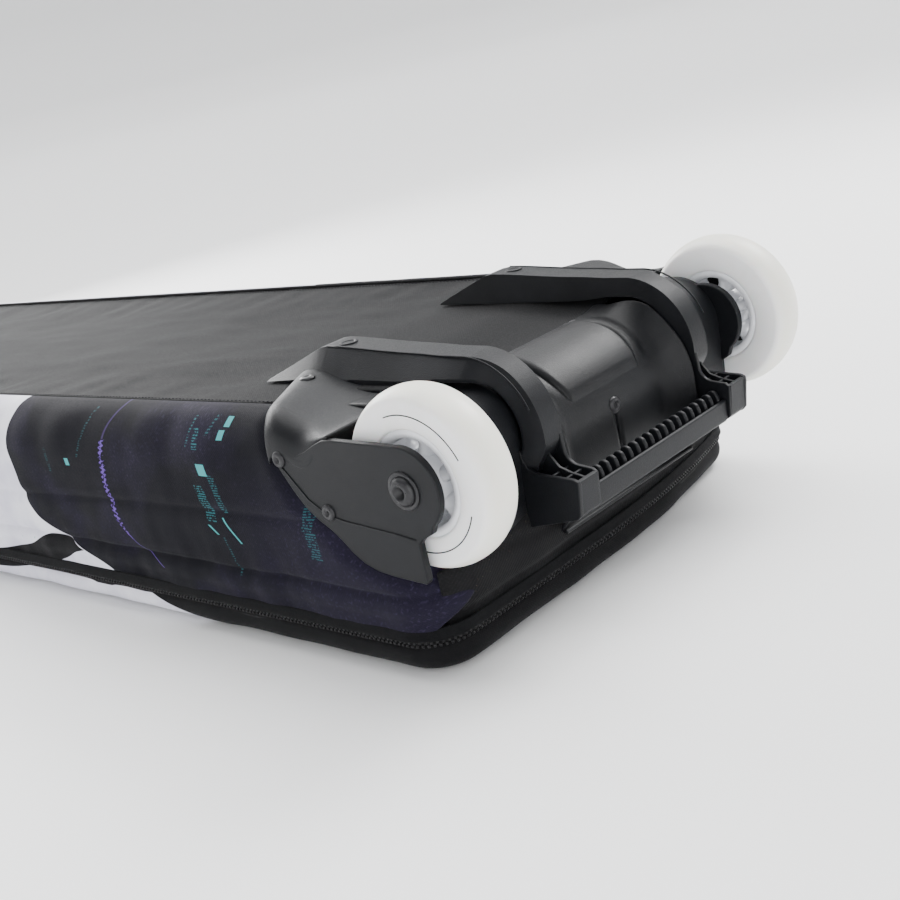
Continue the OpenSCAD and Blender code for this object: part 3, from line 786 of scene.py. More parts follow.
def side_panel(side):
    """Side wall from the top seam down to the zip, and round to the middle of the nose."""
    rows = 46
    plan, normal, along = belt_path(430)
    start = int(np.argmax(plan[:, 1] < -(HALF_W - HEEL_CORNER * END_SHARE)))
    every = along.copy()
    whole = np.concatenate([plan, normal], 1)
    plan, normal, along = plan[start:], normal[start:], along[start:]
    columns = len(plan)
    low = ZIP_Z + ZIP_GAP
    points = np.zeros((rows, columns, 3))
    uv = np.zeros((rows, columns, 2))
    normals = np.zeros((rows, columns, 2))
    blend = np.clip(1 - np.arange(columns) / 34, 0, 1)
    for r, t in enumerate(np.linspace(0, 1, rows)):
        top = seam_height(plan[:, 0])
        z = low + (top - low) * t
        edge = -10 * MM + 44 * MM * smooth(z[0], 19 * MM, 50 * MM)
        spot = along - edge * blend
        px, py, nx, ny = (np.interp(spot, every, whole[:, k]) for k in range(4))
        lean = (HALF_W - SEAM_Y) * (0.35 + 0.65 * smooth(px, NOSE_X, NOSE_X + 120 * MM))
        off = belt_offset(px, py, z, top, lean) + 0.6 * MM * blend
        points[r, :, 0] = px + nx * off - (sag_in(px, py * -side, z) if side > 0 else 0)
        points[r, :, 1] = py + ny * off
        points[r, :, 2] = z
        normals[r, :, 0], normals[r, :, 1] = nx, ny
        uv[r, :, 0] = spot
        uv[r, :, 1] = z
    flat = points.reshape(-1, 3)
    tops = np.repeat(seam_height(plan[:, 0])[None], rows, 0).ravel()
    normals = normals.reshape(-1, 2)
    z = flat[:, 2]
    hold = smooth(z, low, low + 9 * MM) * (1 - smooth(z, tops - 4 * MM, tops)) * 0.9 + 0.1
    hold = hold * np.repeat((1 - 0.85 * blend)[None], rows, 0).ravel()
    mirror_seed = flat * [1, side, 1]
    depth = wrinkle(mirror_seed, tops) * hold
    depth -= 2.0 * MM * np.exp(-((z - print_stitch_height(flat[:, 0])) / (3.2 * MM)) ** 2)
    seam_wave = SEAM_A + 0.6 * MM * noise_at(flat, 20, 6)
    depth -= 2.6 * MM * np.exp(-((z - seam_wave) / (2.4 * MM)) ** 2)
    depth += 1.5 * MM * np.exp(-((z - seam_wave + 6 * MM) / (4 * MM)) ** 2)
    behind_handle = (1 - smooth(np.abs(flat[:, 0]), 160 * MM, 175 * MM)) * smooth(z, 50 * MM, 58 * MM)
    behind_handle *= 1 - smooth(z, 96 * MM, 104 * MM)
    depth -= behind_handle * np.maximum(depth + 0.4 * MM, 0)
    depth = depth - under_plate(flat) * (5.2 * MM + np.maximum(depth, 0) - 1.0 * MM)
    depth = np.clip(depth, -9 * MM, 4.5 * MM)
    flat[:, 0] += normals[:, 0] * depth
    flat[:, 1] += normals[:, 1] * depth
    points = flat.reshape(rows, columns, 3)
    x, zz = points[..., 0] - AXLE_X, points[..., 2] - AXLE_Z
    edge = np.interp(zz, np.array([-47, -42, -36, -22, -14, 2, 20, 45]) * MM,
                     np.array([40, -28, -40, -52, -66, -78, -88, -92]) * MM)
    inside = (x > edge) & (zz > -46 * MM)
    points[..., 1] *= -side
    obj = grid_object(f"{LABEL[side]}_side_fabric", points, uv, M_PRINT, "bag", "print_fabric",
                      ~all_corners(inside), 2.4 * MM, flip=side > 0)
    return obj, points


def back_fabric():
    """Back panel between the two top seams, with soft folds that fan out from the chassis."""
    rows, columns = 74, 330
    t = np.linspace(0, 1, columns)
    xs = GUARD_X + 2 * MM - (GUARD_X + 2 * MM - NOSE_X) * (0.45 * t + 0.55 * t ** 2)
    points = np.zeros((rows, columns, 3))
    for c, x in enumerate(xs):
        lean = (HALF_W - SEAM_Y) * (0.35 + 0.65 * smooth(x, NOSE_X, NOSE_X + 120 * MM))
        reach = NOSE_CORNER - lean
        inner_x = x - (NOSE_X + lean)
        half = HALF_W - lean
        if inner_x < reach:
            drop = reach - max(inner_x, 0)
            half = half - reach + math.sqrt(max(reach * reach - drop * drop, 0))
        v = np.linspace(-1, 1, rows)
        points[:, c, 0] = max(x, NOSE_X + lean)
        points[:, c, 1] = v * half
        points[:, c, 2] = seam_height(x)
    flat = points.reshape(-1, 3)
    x, y = flat[:, 0], flat[:, 1]
    v = np.repeat(np.linspace(-1, 1, rows)[:, None], columns, 1).ravel()
    hold = 1 - np.abs(v) ** 5
    fade = smooth(x, GUARD_X - 110 * MM, GUARD_X - 160 * MM)
    fan = np.stack([x * 0.35 - y * 0.55, y * 1.0 + x * 0.25, np.zeros(len(x))], 1)
    folds = noise_at(fan, 26, 8) * 1.9 + noise_at(fan, 60, 9) * 0.7
    soft = noise_at(flat, 6, 10) * 2.6
    beside = np.exp(-((np.abs(y) - 100 * MM) / (26 * MM)) ** 2)
    z = (folds + soft) * fade * hold - 3.4 * hold * fade - 1.5 * hold * (1 - fade)
    z += noise_at(np.stack([x * 1.0, y * 0.2, y * 0], 1), 48, 11) * beside * fade * 1.2
    between = (1 - smooth(np.abs(y), 58 * MM, 66 * MM)) * smooth(x, AXLE_X - 100 * MM, AXLE_X - 40 * MM)
    z -= 4.6 * between
    flat[:, 2] += z * MM
    flat[:, 2] = np.minimum(flat[:, 2], seam_height(x) + 1.5 * MM)
    points = flat.reshape(rows, columns, 3)
    uv = np.stack([points[..., 0], points[..., 1]], -1)
    xx, yy = points[..., 0] - AXLE_X, np.abs(points[..., 1])
    under = (xx > -90 * MM) & (yy > 92 * MM)
    keep = ~(under[:-1, :-1] & under[1:, 1:])
    return grid_object("back_fabric", points, uv, M_BLACK, "bag", "black_fabric", keep, 2.4 * MM, flip=True)


def end_fabric():
    """Coarse wheel end panel, wrapped round both corners, from the zip up behind the chassis."""
    plan, normal, along = belt_path(430)
    stop = int(np.argmax(plan[:, 1] < -(HALF_W - HEEL_CORNER * END_SHARE))) + 1
    pick = np.linspace(0, stop - 1, 60).astype(int)
    right = np.column_stack([plan, normal, -along])[pick]
    loop = np.concatenate([right[::-1], (right * [1, -1, 1, -1, -1])[1:]])
    rows = 44
    low, high = ZIP_Z + ZIP_GAP, AXLE_Z - 6 * MM
    zs = np.linspace(low, high, rows)
    points = np.zeros((rows, len(loop), 3))
    for r, z in enumerate(zs):
        rise = (z - low) / (high - low)
        bulge = 6.0 * MM * math.sin(min(1, rise * 1.25) * math.pi) - 1.0 * MM
        tucked = 2.6 * MM * smooth(np.abs(loop[:, 1]), 118 * MM, 132 * MM)
        points[r, :, 0] = loop[:, 0] + loop[:, 2] * (bulge - tucked) - sag_in(loop[:, 0], loop[:, 1], z)
        points[r, :, 1] = loop[:, 1] + loop[:, 3] * (bulge - tucked)
        points[r, :, 2] = z
    flat = points.reshape(-1, 3)
    normals = np.repeat(loop[None, :, 2:4], rows, 0).reshape(-1, 2)
    z = flat[:, 2]
    hold = smooth(z, low, low + 8 * MM)
    depth = (noise_at(flat, 20, 12) * 1.8 + noise_at(flat * [1, 1, 0.4], 50, 13) * 0.9) * hold * MM
    welt = low + 9 * MM
    depth -= 2.0 * MM * np.exp(-((z - welt) / (2.2 * MM)) ** 2)
    across = np.abs(flat[:, 1]) / HALF_W
    fold_line = low + 22 * MM + 20 * MM * across ** 2
    depth -= 1.3 * MM * np.exp(-((z - fold_line) / (3.0 * MM)) ** 2) * smooth(across, 0.15, 0.5)
    flat[:, 0] += normals[:, 0] * depth
    flat[:, 1] += normals[:, 1] * depth
    flat[:, 0] = np.minimum(flat[:, 0], END_X + 6.8 * MM)
    points = flat.reshape(rows, -1, 3)
    uv = np.zeros((rows, len(loop), 2))
    uv[..., 0] = loop[:, 4][None]
    uv[..., 1] = zs[:, None]
    yy, zz = np.abs(points[..., 1]), points[..., 2] - AXLE_Z
    above = (yy > 110 * MM) & (zz > -46 * MM)
    return grid_object("end_fabric", points, uv, M_ROUGH, "bag", "end_fabric", ~all_corners(above), 2.4 * MM)


def full_loop(count, inset):
    """Closed plan of the whole bag at an inset: points, normals, lengths."""
    plan, normal, along = belt_path(count)
    right = np.concatenate([plan, normal, along[:, None]], 1)
    left = (right * [1, -1, 1, -1, -1])[::-1]
    loop = np.concatenate([left, right[1:-1]])
    loop[:, 0] -= loop[:, 2] * inset
    loop[:, 1] -= loop[:, 3] * inset
    loop[:, 0] -= sag_in(loop[:, 0], loop[:, 1], 0.0)
    return loop


def lid_fabric():
    """Lid side band that rolls under to the floor, and the wide face that the bag lies on."""
    loop = full_loop(300, 0)
    n = len(loop)
    high = ZIP_Z - ZIP_GAP
    profile = [(high, 1.2), (high * 0.8, 0.4), (high * 0.55, 0.2), (high * 0.33, 1.5), (high * 0.15, 4.2),
               (0.6 * MM, 8.5), (0.1 * MM, 14.0)]
    points = np.zeros((len(profile), n + 1, 3))
    order = list(range(n)) + [0]
    for r, (z, inset) in enumerate(profile):
        points[r, :, 0] = loop[order, 0] - loop[order, 2] * inset * MM
        points[r, :, 1] = loop[order, 1] - loop[order, 3] * inset * MM
        points[r, :, 2] = z
    flat = points.reshape(-1, 3)
    normals = np.repeat(loop[order][None, :, 2:4], len(profile), 0).reshape(-1, 2)
    hold = (1 - smooth(flat[:, 2], high - 3 * MM, high)) * smooth(flat[:, 2], 0.2 * MM, 2 * MM)
    depth = noise_at(flat, 28, 14) * 2.0 * MM * hold
    flat[:, :2] += normals * depth[:, None]
    points = flat.reshape(len(profile), n + 1, 3)
    verts = [tuple(p) for p in points[:, :-1].reshape(-1, 3)]
    uv = [(loop[c, 4], points[r, c, 2]) for r in range(len(profile)) for c in range(n)]
    faces = []
    for r in range(len(profile) - 1):
        for c in range(n):
            k = (c + 1) % n
            faces.append((r * n + c, r * n + k, (r + 1) * n + k, (r + 1) * n + c))
    # Underside: rings that shrink towards the middle line
    base = (len(profile) - 1) * n
    edge = points[-1, :-1]
    for share in (0.8, 0.6, 0.4, 0.2, 0.0):
        ring = edge.copy()
        ring[:, 1] *= share
        ring[:, 0] = edge[:, 0] * (0.93 + 0.07 * share)
        ring[:, 2] = 0.5 * MM + (noise_at(ring, 12, 15) + 1) * 1.1 * MM
        start = len(verts)
        verts += [tuple(p) for p in ring]
        uv += [(p[0], p[1]) for p in ring]
        for c in range(n):
            k = (c + 1) % n
            faces.append((base + c, base + k, start + k, start + c))
        base = start
    obj = make_object("lid_fabric", verts, faces, M_LID, "lid")
    add_uv(obj, uv)
    bm = bmesh.new()
    bm.from_mesh(obj.data)
    bmesh.ops.remove_doubles(bm, verts=bm.verts, dist=0.05 * MM)
    bmesh.ops.recalc_face_normals(bm, faces=bm.faces)
    bm.to_mesh(obj.data)
    bm.free()
    add_thickness(obj, 2.0 * MM)
    obj.modifiers.new("smooth", "SUBSURF").levels = 1
    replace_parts(obj, "lid_shell")


def lid_lining():
    """Thin quilted pad that lines the lid."""
    loop = full_loop(120, 14 * MM)
    count = len(loop)
    verts, faces = [], []
    shares = (1.0, 0.97, 0.8, 0.6, 0.4, 0.2)
    for face in (1, 0):
        for share in shares:
            for x, y in loop[:, :2]:
                soft = 1 - smooth(abs(share), 0.9, 1.0)
                quilt = 0.5 + 0.5 * abs(math.sin(x * math.pi / 0.09))
                top = 8.6 * MM + soft * (0.8 + 1.3 * quilt) * MM
                verts.append((x * (0.93 + 0.07 * share), y * share, top if face else 6.6 * MM))
    for face in (0, 1):
        base = face * len(shares) * count
        for ring in range(len(shares) - 1):
            for c in range(count):
                k = (c + 1) % count
                a, b = base + ring * count, base + (ring + 1) * count
                faces.append((a + c, a + k, b + k, b + c))
        last = base + (len(shares) - 1) * count
        faces.append(tuple(range(last, last + count)))
    other = len(shares) * count
    faces += [(c, (c + 1) % count, other + (c + 1) % count, other + c) for c in range(count)]
    pad = make_object("lid_quilted_lining", verts, faces, M_LINING, "lid")
    fix_normals(pad)
    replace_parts(pad, "lid_padding")


def belt_strip(name, z0, z1, out0, out1, body, material, slot, hinge_side=False, thickness=1.2 * MM):
    """A narrow strip that follows the bag's plan on three sides, or on the hinge side alone."""
    loop = full_loop(420, 0)
    cut = HALF_W - 16 * MM
    chosen = loop[loop[:, 1] > cut] if hinge_side else None
    if not hinge_side:
        ids = np.where(loop[:, 1] <= cut)[0]
        gap = int(np.argmax(np.diff(ids) > 1)) if (np.diff(ids) > 1).any() else -1
        ids = np.concatenate([ids[gap + 1:], ids[:gap + 1]])
        chosen = loop[ids]
    rows = 4
    points = np.zeros((rows, len(chosen), 3))
    for r in range(rows):
        t = r / (rows - 1)
        out = (out0 + (out1 - out0) * t) * MM
        points[r, :, 0] = chosen[:, 0] + chosen[:, 2] * out
        points[r, :, 1] = chosen[:, 1] + chosen[:, 3] * out
        points[r, :, 2] = z0 + (z1 - z0) * t
    uv = np.zeros((rows, len(chosen), 2))
    uv[..., 0] = np.arange(len(chosen))[None] * 6 * MM
    uv[..., 1] = points[..., 2]
    obj = grid_object(name, points, uv, material, body, slot, None, thickness, 0)
    return obj, chosen


def zip_teeth(name, path, normals, z, drop, body):
    """A chain of teeth along the bag's plan. drop is -1 for the zip's lower half and 1 for the upper."""
    pitch = 2.9 * MM
    path3 = np.column_stack([path, np.full(len(path), z)])
    spots = resample(path3, pitch)
    steps = np.concatenate([[0], np.cumsum(np.linalg.norm(np.diff(path3, axis=0), axis=1))])
    places = np.arange(len(spots)) * pitch
    outs = np.stack([np.interp(places, steps, normals[:, k]) for k in range(2)], 1)
    verts, faces = [], []
    for i in range(len(spots) - 1):
        p = Vector(spots[i])
        t = (Vector(spots[i + 1]) - p).normalized()
        out = Vector((outs[i, 0], outs[i, 1], 0)).normalized()
        p = p + t * (pitch * 0.5 if drop > 0 else 0) + out * 0.3 * MM
        base = len(verts)
        for f, half, proud in ((0.1, 0.55, 0.5), (0.6, 0.78, 0.95), (1.5, 0.62, 0.95), (2.1, 0.45, 0.3)):
            for sx, sy in ((-1, 0), (1, 0), (1, 1), (-1, 1)):
                verts.append(p + t * sx * half * MM + out * (proud * sy - 0.3) * MM
                             + Vector((0, 0, drop * (f - 0.2) * MM)))
        for ring in range(3):
            for k in range(4):
                a, b = base + ring * 4 + k, base + ring * 4 + (k + 1) % 4
                faces.append((a, b, b + 4, a + 4))
        faces.append((base, base + 1, base + 2, base + 3))
        faces.append((base + 15, base + 14, base + 13, base + 12))
    fix_normals(make_object(name, verts, faces, M_TEETH, body))


def add_bag():
    right, right_points = side_panel(-1)
    left, left_points = side_panel(1)
    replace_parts(right, "right_side_wall", "nose_wall")
    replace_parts(left, "left_side_wall")
    back = back_fabric()
    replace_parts(back, "back_panel")
    lid_lining()
    end = end_fabric()
    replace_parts(end, "wheel_end_wall")
    lid_fabric()
    tape, chosen = belt_strip("base_zip_tape", ZIP_Z + 0.2 * MM, ZIP_Z + 5 * MM, -0.9, -0.6, "bag", M_TAPE,
                              "zip")
    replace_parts(tape, "base_zip_chain")
    lid_tape, _ = belt_strip("lid_zip_tape", ZIP_Z - 0.2 * MM, ZIP_Z - 5 * MM, -0.9, -1.2, "lid", M_TAPE,
                             "zip")
    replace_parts(lid_tape, "lid_zip_chain")
    zip_teeth("base_zip_teeth", chosen[:, :2], chosen[:, 2:4], ZIP_Z, 1, "bag")
    zip_teeth("lid_zip_teeth", chosen[:, :2], chosen[:, 2:4], ZIP_Z, -1, "lid")
    flap, _ = belt_strip("zip_flap", ZIP_Z + 1.8 * MM, ZIP_Z + 8 * MM, 1.4, 0.4, "bag", M_BLACK,
                         "black_fabric", thickness=1.4 * MM)
    flap.modifiers.new("smooth", "SUBSURF").levels = 1
    band, _ = belt_strip("hinge_band_fabric", ZIP_Z - 4 * MM, ZIP_Z + 5 * MM, -0.6, -0.6, "bag", M_BLACK,
                         "black_fabric", hinge_side=True)
    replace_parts(band, "hinge_band")
    add_side_seams(-1, right_points)
    add_side_seams(1, left_points)


def add_side_seams(side, points):
    """Welt and stitching along the top seam, and stitch rows on the side."""
    label = LABEL[side]
    seam = points[-1].copy()
    seam[:, 2] += 0.3 * MM
    seam = seam[seam[:, 0] < AXLE_X - 112 * MM]
    tube(f"{label}_top_welt", seam[::2], 1.5 * MM, M_BLACK, "bag", "black_fabric")
    line = []
    for column in points.transpose(1, 0, 2):
        target = print_stitch_height(column[0, 0])
        x, y, _ = column[int(np.argmin(np.abs(column[:, 2] - target)))]
        line.append((x, y, target))
    line = np.array(line)
    ahead = line[:, 0] - AXLE_X
    print_end, plate = -343 * MM, -72 * MM
    dark = line[(ahead < plate) & (ahead > print_end)]
    light = line[(ahead < print_end) & (line[:, 0] > NOSE_X + NOSE_CORNER)]
    out = (0, side, 0)
    proud = np.array(out) * 0.3 * MM
    stitches(f"{label}_stitches_dark", dark + proud, out, M_THREAD)
    stitches(f"{label}_stitches_light", light + proud, out, M_THREAD_LIGHT)
    inner = points[-1].copy()
    row = inner[(inner[:, 0] < AXLE_X - 100 * MM) & (inner[:, 0] > NOSE_X + NOSE_CORNER)]
    row += [0, -side * 5 * MM, -0.2 * MM]
    stitches(f"{label}_top_stitches", row, (0, 0, 1), M_THREAD)


# ---- Chassis ----

def side_plate_outline():
    """Rounded fork plate, as (x, z) millimetres from the axle. Its front edge runs into the deck's shoulder."""
    nose = arc(0, 0, 21.5, 96, -52, 22)
    return nose + [(11.5, -20.5), (4.5, -24), (1.8, -26.5), (1.5, -45.5), (0, -47.5), (-8, -47), (-22, -46),
                   (-32, -44.5), (-40, -41.5), (-47, -36.5), (-53, -30.5), (-58.5, -26), (-66, -21.5), (-74, -15),
                   (-80, -7), (-85.5, 2), (-89.5, 8.5), (-91.5, 12), (-91, 14.5), (-86, 13.5),
                   (-80, 12.4), (-72, 12.6), (-64, 15.4), (-57, 19.0), (-50, 21.8), (-43, 22.4),
                   (-28, 22), (-14, 21.8)]


def side_plate(side):
    label = LABEL[side]
    near, far = side * (PLATE_Y - PLATE_T) / MM, side * PLATE_Y / MM
    plate = chassis_plate(f"{label}_fork_plate", side_plate_outline(), near, far, 0.9 * MM)
    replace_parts(plate, f"{label}_side_plate")
    # A shallow raised line on the plate's face
    y = side * (PLATE_Y / MM + 0.1)
    ridge = [(-84, 6), (-70, -10), (-58, -17.5), (-46, -19.5), (-30, -21), (-14, -22.5), (0, -24.5)]
    tube(f"{label}_plate_ridge", [at(x, y, z) for x, z in ridge], 0.45 * MM, *CHASSIS)


# The deck's line along the bag, as (x, z) millimetres from the axle
DECK_PATH = [(-120, 28.5), (-118, 31.8), (-113, 34.2), (-106, 34.6), (-98, 32.8), (-90, 30.2), (-80, 27.6),
             (-70, 26.2), (-60, 25.2), (-51, 24.6)]


def deck_front(y):
    """The deck's slanted front edge, in millimetres from the axle."""
    return -134 + 0.62 * (y - 88) + 1.5 * smooth(y, 128, 150)


def wheel_well(side):
    """Surface from the skid rail to the side plate, with a broad rounded shoulder at the plate."""
    label = LABEL[side]
    path = DECK_PATH + arc(0, 0, 51.5, 151, 232, 20)
    deck = len(DECK_PATH)
    edge_y, arch_y = 150.1, 148.6
    ys = np.concatenate([np.linspace(80, 128, 12), np.linspace(130, edge_y, 18)])
    edge_row = len(ys) - 1
    ys = np.concatenate([ys, [edge_y + 0.05] * 3])      # a short skirt that hangs from the edge
    points = np.zeros((len(ys), len(path), 3))
    first, last = DECK_PATH[0][0], DECK_PATH[-1][0]
    for r, y in enumerate(ys):
        front = deck_front(y)
        for c, (x, z) in enumerate(path):
            drop = 0.0
            if c < deck:
                x = front + (x - first) * (last - front) / (last - first)
                radius = 14.0 * (1 - smooth(x, -70, -50)) + 2.0
                over = min(radius, max(0.0, y - (edge_y - radius)))
                drop = radius - math.sqrt(radius * radius - over * over)
                drop += 0.04 * max(0.0, y - 100) + 1.6 * max(0, r - edge_row)
            out = y if c < deck - 1 else min(y, arch_y)
            points[r, c] = at(x, side * out, z - drop)
    well = grid_object(f"{label}_wheel_well", points, None, *CHASSIS, thickness=2.2 * MM, flip=side < 0)
    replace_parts(well, f"{label}_wheel_housing")


def inner_shelf(side):
    """Closes the chassis between a rail and its inner fork plate, over the top and down the back."""
    path = [(-96, 24), (-80, 25.4), (-60, 26), (-40, 26)]
    path += arc(-18, 0, 26, 92, 4, 16) + [(7.6, -10), (6.4, -24), (4.6, -46)]
    points = np.array([[at(x, side * y, z) for x, z in path] for y in np.linspace(74, 112, 14)])
    grid_object(f"{LABEL[side]}_inner_shelf", points, None, *CHASSIS, subdivide=0, flip=side < 0)


def inner_plate(side):
    """Inner fork plate with its rounded nose."""
    outline = arc(0, 0, 21.5, 100, -52, 20)
    outline += [(11, -22), (4, -26), (1.5, -32), (1.0, -46), (-4, -48), (-26, -48), (-44, -40), (-56, -20),
                (-62, 4), (-62, 18), (-52, 21), (-34, 23), (-22, 22), (-12, 22)]
    chassis_plate(f"{LABEL[side]}_inner_plate", outline, side * 109.5, side * 114)


RAIL_IN, RAIL_OUT = 59.5, 88.0      # a rail's inner and outer side, in millimetres from the bag's middle


def rail_sections():
    """The rail's top and base lines seen from the side, from its front tip round the corner to the foot."""
    top = [(-160, 28.5), (-150, 32.6), (-138, 37.4), (-126, 42), (-119, 44.6), (-113, 45.4), (-104, 45.1),
           (-90, 44.2), (-74, 43), (-58, 42), (-44, 41.4), (-30, 40.4)]
    base = [(x, 27.5) for x, z in top[:-2]] + [(-44, 28), (-30, 29.5)]
    top += arc(-18, 0, 40.2, 84, 2, 14)
    top += [(22.0, -6), (20.4, -10), (17.4, -14), (14.6, -17.5), (13.0, -21)]
    base += arc(-18, 0, 29.5, 84, 2, 14)
    base += [(10.2, -6), (8.4, -10), (6.6, -14), (5.6, -18), (5.0, -22)]
    return top, base


def skid_rail(side):
    """Rail with a chamfered outer side and a nearly upright inner side."""
    label = LABEL[side]
    top, base = rail_sections()
    rings = []
    for i, ((tx, tz), (bx, bz)) in enumerate(zip(top, base)):
        height = math.hypot(tx - bx, tz - bz)
        crown = min(1.0, height / 8)
        late = smooth(i / len(top), 0.30, 0.55)
        outer_base = RAIL_OUT - 10 * late
        outer_top = (RAIL_OUT - 1) - 7.5 * crown * (1 - 0.5 * late) - 8 * late
        section = [(RAIL_IN, 0.0), (RAIL_IN + 1.2 * crown, 1.0), (outer_top - 1.2, 1.0), (outer_base, 0.16),
                   (outer_base, 0.0)]
        rings.append([at(bx + (tx - bx) * h, side * y, bz + (tz - bz) * h) for y, h in section])
    loft(f"{label}_skid_rail", rings, *CHASSIS, bevel=0.9 * MM)
    # A raised line along the rail's top and a low boss at its front
    edge = [at(x, side * (RAIL_OUT - 9.5), z + 0.05) for x, z in top[5:24]]
    line = tube(f"{label}_rail_line", edge, 0.5 * MM, *CHASSIS)
    dished = [(0.01, 0), (4.8, 0), (5.2, 0.5), (4.9, 1.0), (3.6, 0.9), (3.2, 0.35), (0.01, 0.35)]
    boss = lathe(f"{label}_rail_boss", dished, at(-104, side * 71, 44.6), *CHASSIS, 40, "Z")
    merge(f"{label}_rail_details", [boss, line])


def foot_block(side):
    """Open-topped block: two cheeks that curve out from the rail, an end plate, a floor and cross ribs."""
    label = LABEL[side]
    curve = [(8.3, -8), (8.8, -13), (10.8, -17), (14.5, -19.2), (20, -20)]
    outer = curve + [(38, -21.2), (40.8, -22.4), (41, -25), (38.6, -40), (36.6, -42.2), (12, -47.6), (3, -49.8),
                     (1.6, -44), (2, -30), (5, -10)]
    inner = [(16, -2), (22.4, -4), (22.8, -11)] + arc(31, -12, 8.2, 178, 262, 7)
    inner += [(38, -21.2), (40.4, -23), (38.4, -40), (36, -42), (10, -47), (3, -49), (4, -20), (10, -6)]
    end = [(38.4, -22.2), (40.8, -22.8), (38.5, -39.8), (36.4, -41.8)]
    floor = [(38, -38.6), (36.6, -41.8), (12, -47.2), (3, -49.4), (3.5, -45)]
    rib_a = [(30.4, -21.6), (32.2, -21.6), (32.2, -40.5), (30.4, -41)]
    rib_b = [(23.0, -20.5), (24.8, -20.5), (24.8, -42), (23.0, -43)]
    spine = [(12, -8), (19, -12), (24, -18.5), (31, -21), (38.4, -22.6), (37, -41), (10, -45)]
    # Each plate's outline, its two faces across the bag and its bevel, in millimetres
    plates = {"cheek_in": (inner, 60.8, 63.2, 0.6), "cheek_out": (outer, 75.8, 78.4, 0.6),
              "end": (end, 62, 77.4, 0.5), "floor": (floor, 62, 77.4, 0.5), "rib_a": (rib_a, 62, 77.4, 0.5),
              "rib_b": (rib_b, 62, 77.4, 0.5), "spine": (spine, 68.6, 70.4, 0.4)}
    parts = [chassis_plate(f"{label}_foot_{name}", outline, side * near, side * far, bevel * MM)
             for name, (outline, near, far, bevel) in plates.items()]
    apply_all(parts)
    merge(f"{label}_foot_block", parts)


def bar_piece():
    """Grip bar: a channel with a row of round-topped ribs that stand above its front plate."""
    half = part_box("grip_bar")[1].y / MM
    face = [(34.6, -30.8), (36.2, -30.0), (37.4, -31.0), (37.0, -40.8), (35.4, -42.9), (27.5, -43.6), (26.2, -42.2),
            (26.2, -33.4), (27.2, -32.6), (28.2, -33.4), (28.6, -40.6), (34.0, -40.2)]
    bar = chassis_plate("grip_bar_channel", face, -half, half, 0.6 * MM)
    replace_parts(bar, "grip_bar")
    rib = [(27.0, -33.0), (27.4, -27.6), (28.8, -25.0), (31.4, -24.2), (33.8, -25.4), (34.9, -28.6), (35.2, -33.0),
           (34.8, -41.0), (27.4, -41.8)]
    count, rib_half = 19, 1.35
    ribs = []
    for i in range(count):
        y = -half + (i + 0.5) * 2 * half / count
        ribs.append(chassis_plate(f"bar_rib_{i}", rib, y - rib_half, y + rib_half, 0.9 * MM))
    apply_all(ribs)
    merge("grip_bar_comb", ribs)


def apply_all(objs):
    """Turns each object's modifiers into mesh."""
    graph = bpy.context.evaluated_depsgraph_get()
    for o in objs:
        mesh = bpy.data.meshes.new_from_object(o.evaluated_get(graph))
        o.modifiers.clear()
        o.data = mesh


def guard_relief(turn, y):
    """Height of the guard's face over its plain curve, in millimetres.

    turn is the angle round the wrap in degrees, 90 on top and 0 at the back.
    """
    a = abs(y)
    run = min(1.0, max(0.0, (96 - turn) / 72))
    crescent = math.sin(math.pi * run) if 0 < run < 1 else 0.0
    slot_mid = 29.6 + 4.6 * crescent
    slot_half = 0.3 + 1.35 * crescent
    slot = math.exp(-((a - slot_mid) / slot_half) ** 4) * min(1.0, crescent * 4)
    inside = 1 - smooth(a, slot_mid - 1.2, slot_mid + 0.6)
    raised = 1.5 * inside * min(1.0, crescent * 3)
    lip = max(0.0, (a - 39) / 20.4) ** 2.2
    side_rise = lip * (2.5 + 10.5 * smooth(92 - turn, 0, 40))
    outer = 0.9 * smooth(a, slot_mid + 5, slot_mid + 13) * min(1.0, crescent * 2)
    return raised + side_rise - 2.6 * slot - outer


def guard_piece():
    """Curved guard that wraps the bag's lower back corner between the rails."""
    center_x, center_z, radius = -31.0, -17.0, 38.4
    half_width = 59.4
    start, steps = 94, 70
    # Each place is x, z and the turn that guard_relief reads
    path = [(-38.5, 20.6, 96), (-37.6, 21.2, 95)]
    curve = arc(center_x, center_z, radius, start, 0, steps)
    path += [(x, z, start - start * i / steps) for i, (x, z) in enumerate(curve)]
    path += [(center_x + radius, center_z - i * 1.6, -i) for i in range(1, 27)]
    path += [(8.0, -59.6, -30), (9.4, -60.4, -32), (11.6, -60.8, -34)]
    ys = np.linspace(-half_width, half_width, 189)
    points = np.zeros((len(ys), len(path), 3))
    for c, (x, z, turn) in enumerate(path):
        a, b = path[max(c - 1, 0)], path[min(c + 1, len(path) - 1)]
        tx, tz = b[0] - a[0], b[1] - a[1]
        length = math.hypot(tx, tz)
        nx, nz = -tz / length, tx / length
        if nx + nz < 0:
            nx, nz = -nx, -nz
        fade = 1 - smooth(-turn, 16, 26)
        for r, y in enumerate(ys):
            h = guard_relief(turn, y) * fade
            if abs(y) < 2.2 and -36 < z < -16:      # the groove below the screw
                h -= 1.6
            points[r, c] = at(x + nx * h, y, z + nz * h)
    guard = grid_object("guard_shell", points, None, M_GUARD, "bag", "chassis", thickness=2.2 * MM, flip=True)
    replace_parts(guard, "center_guard")


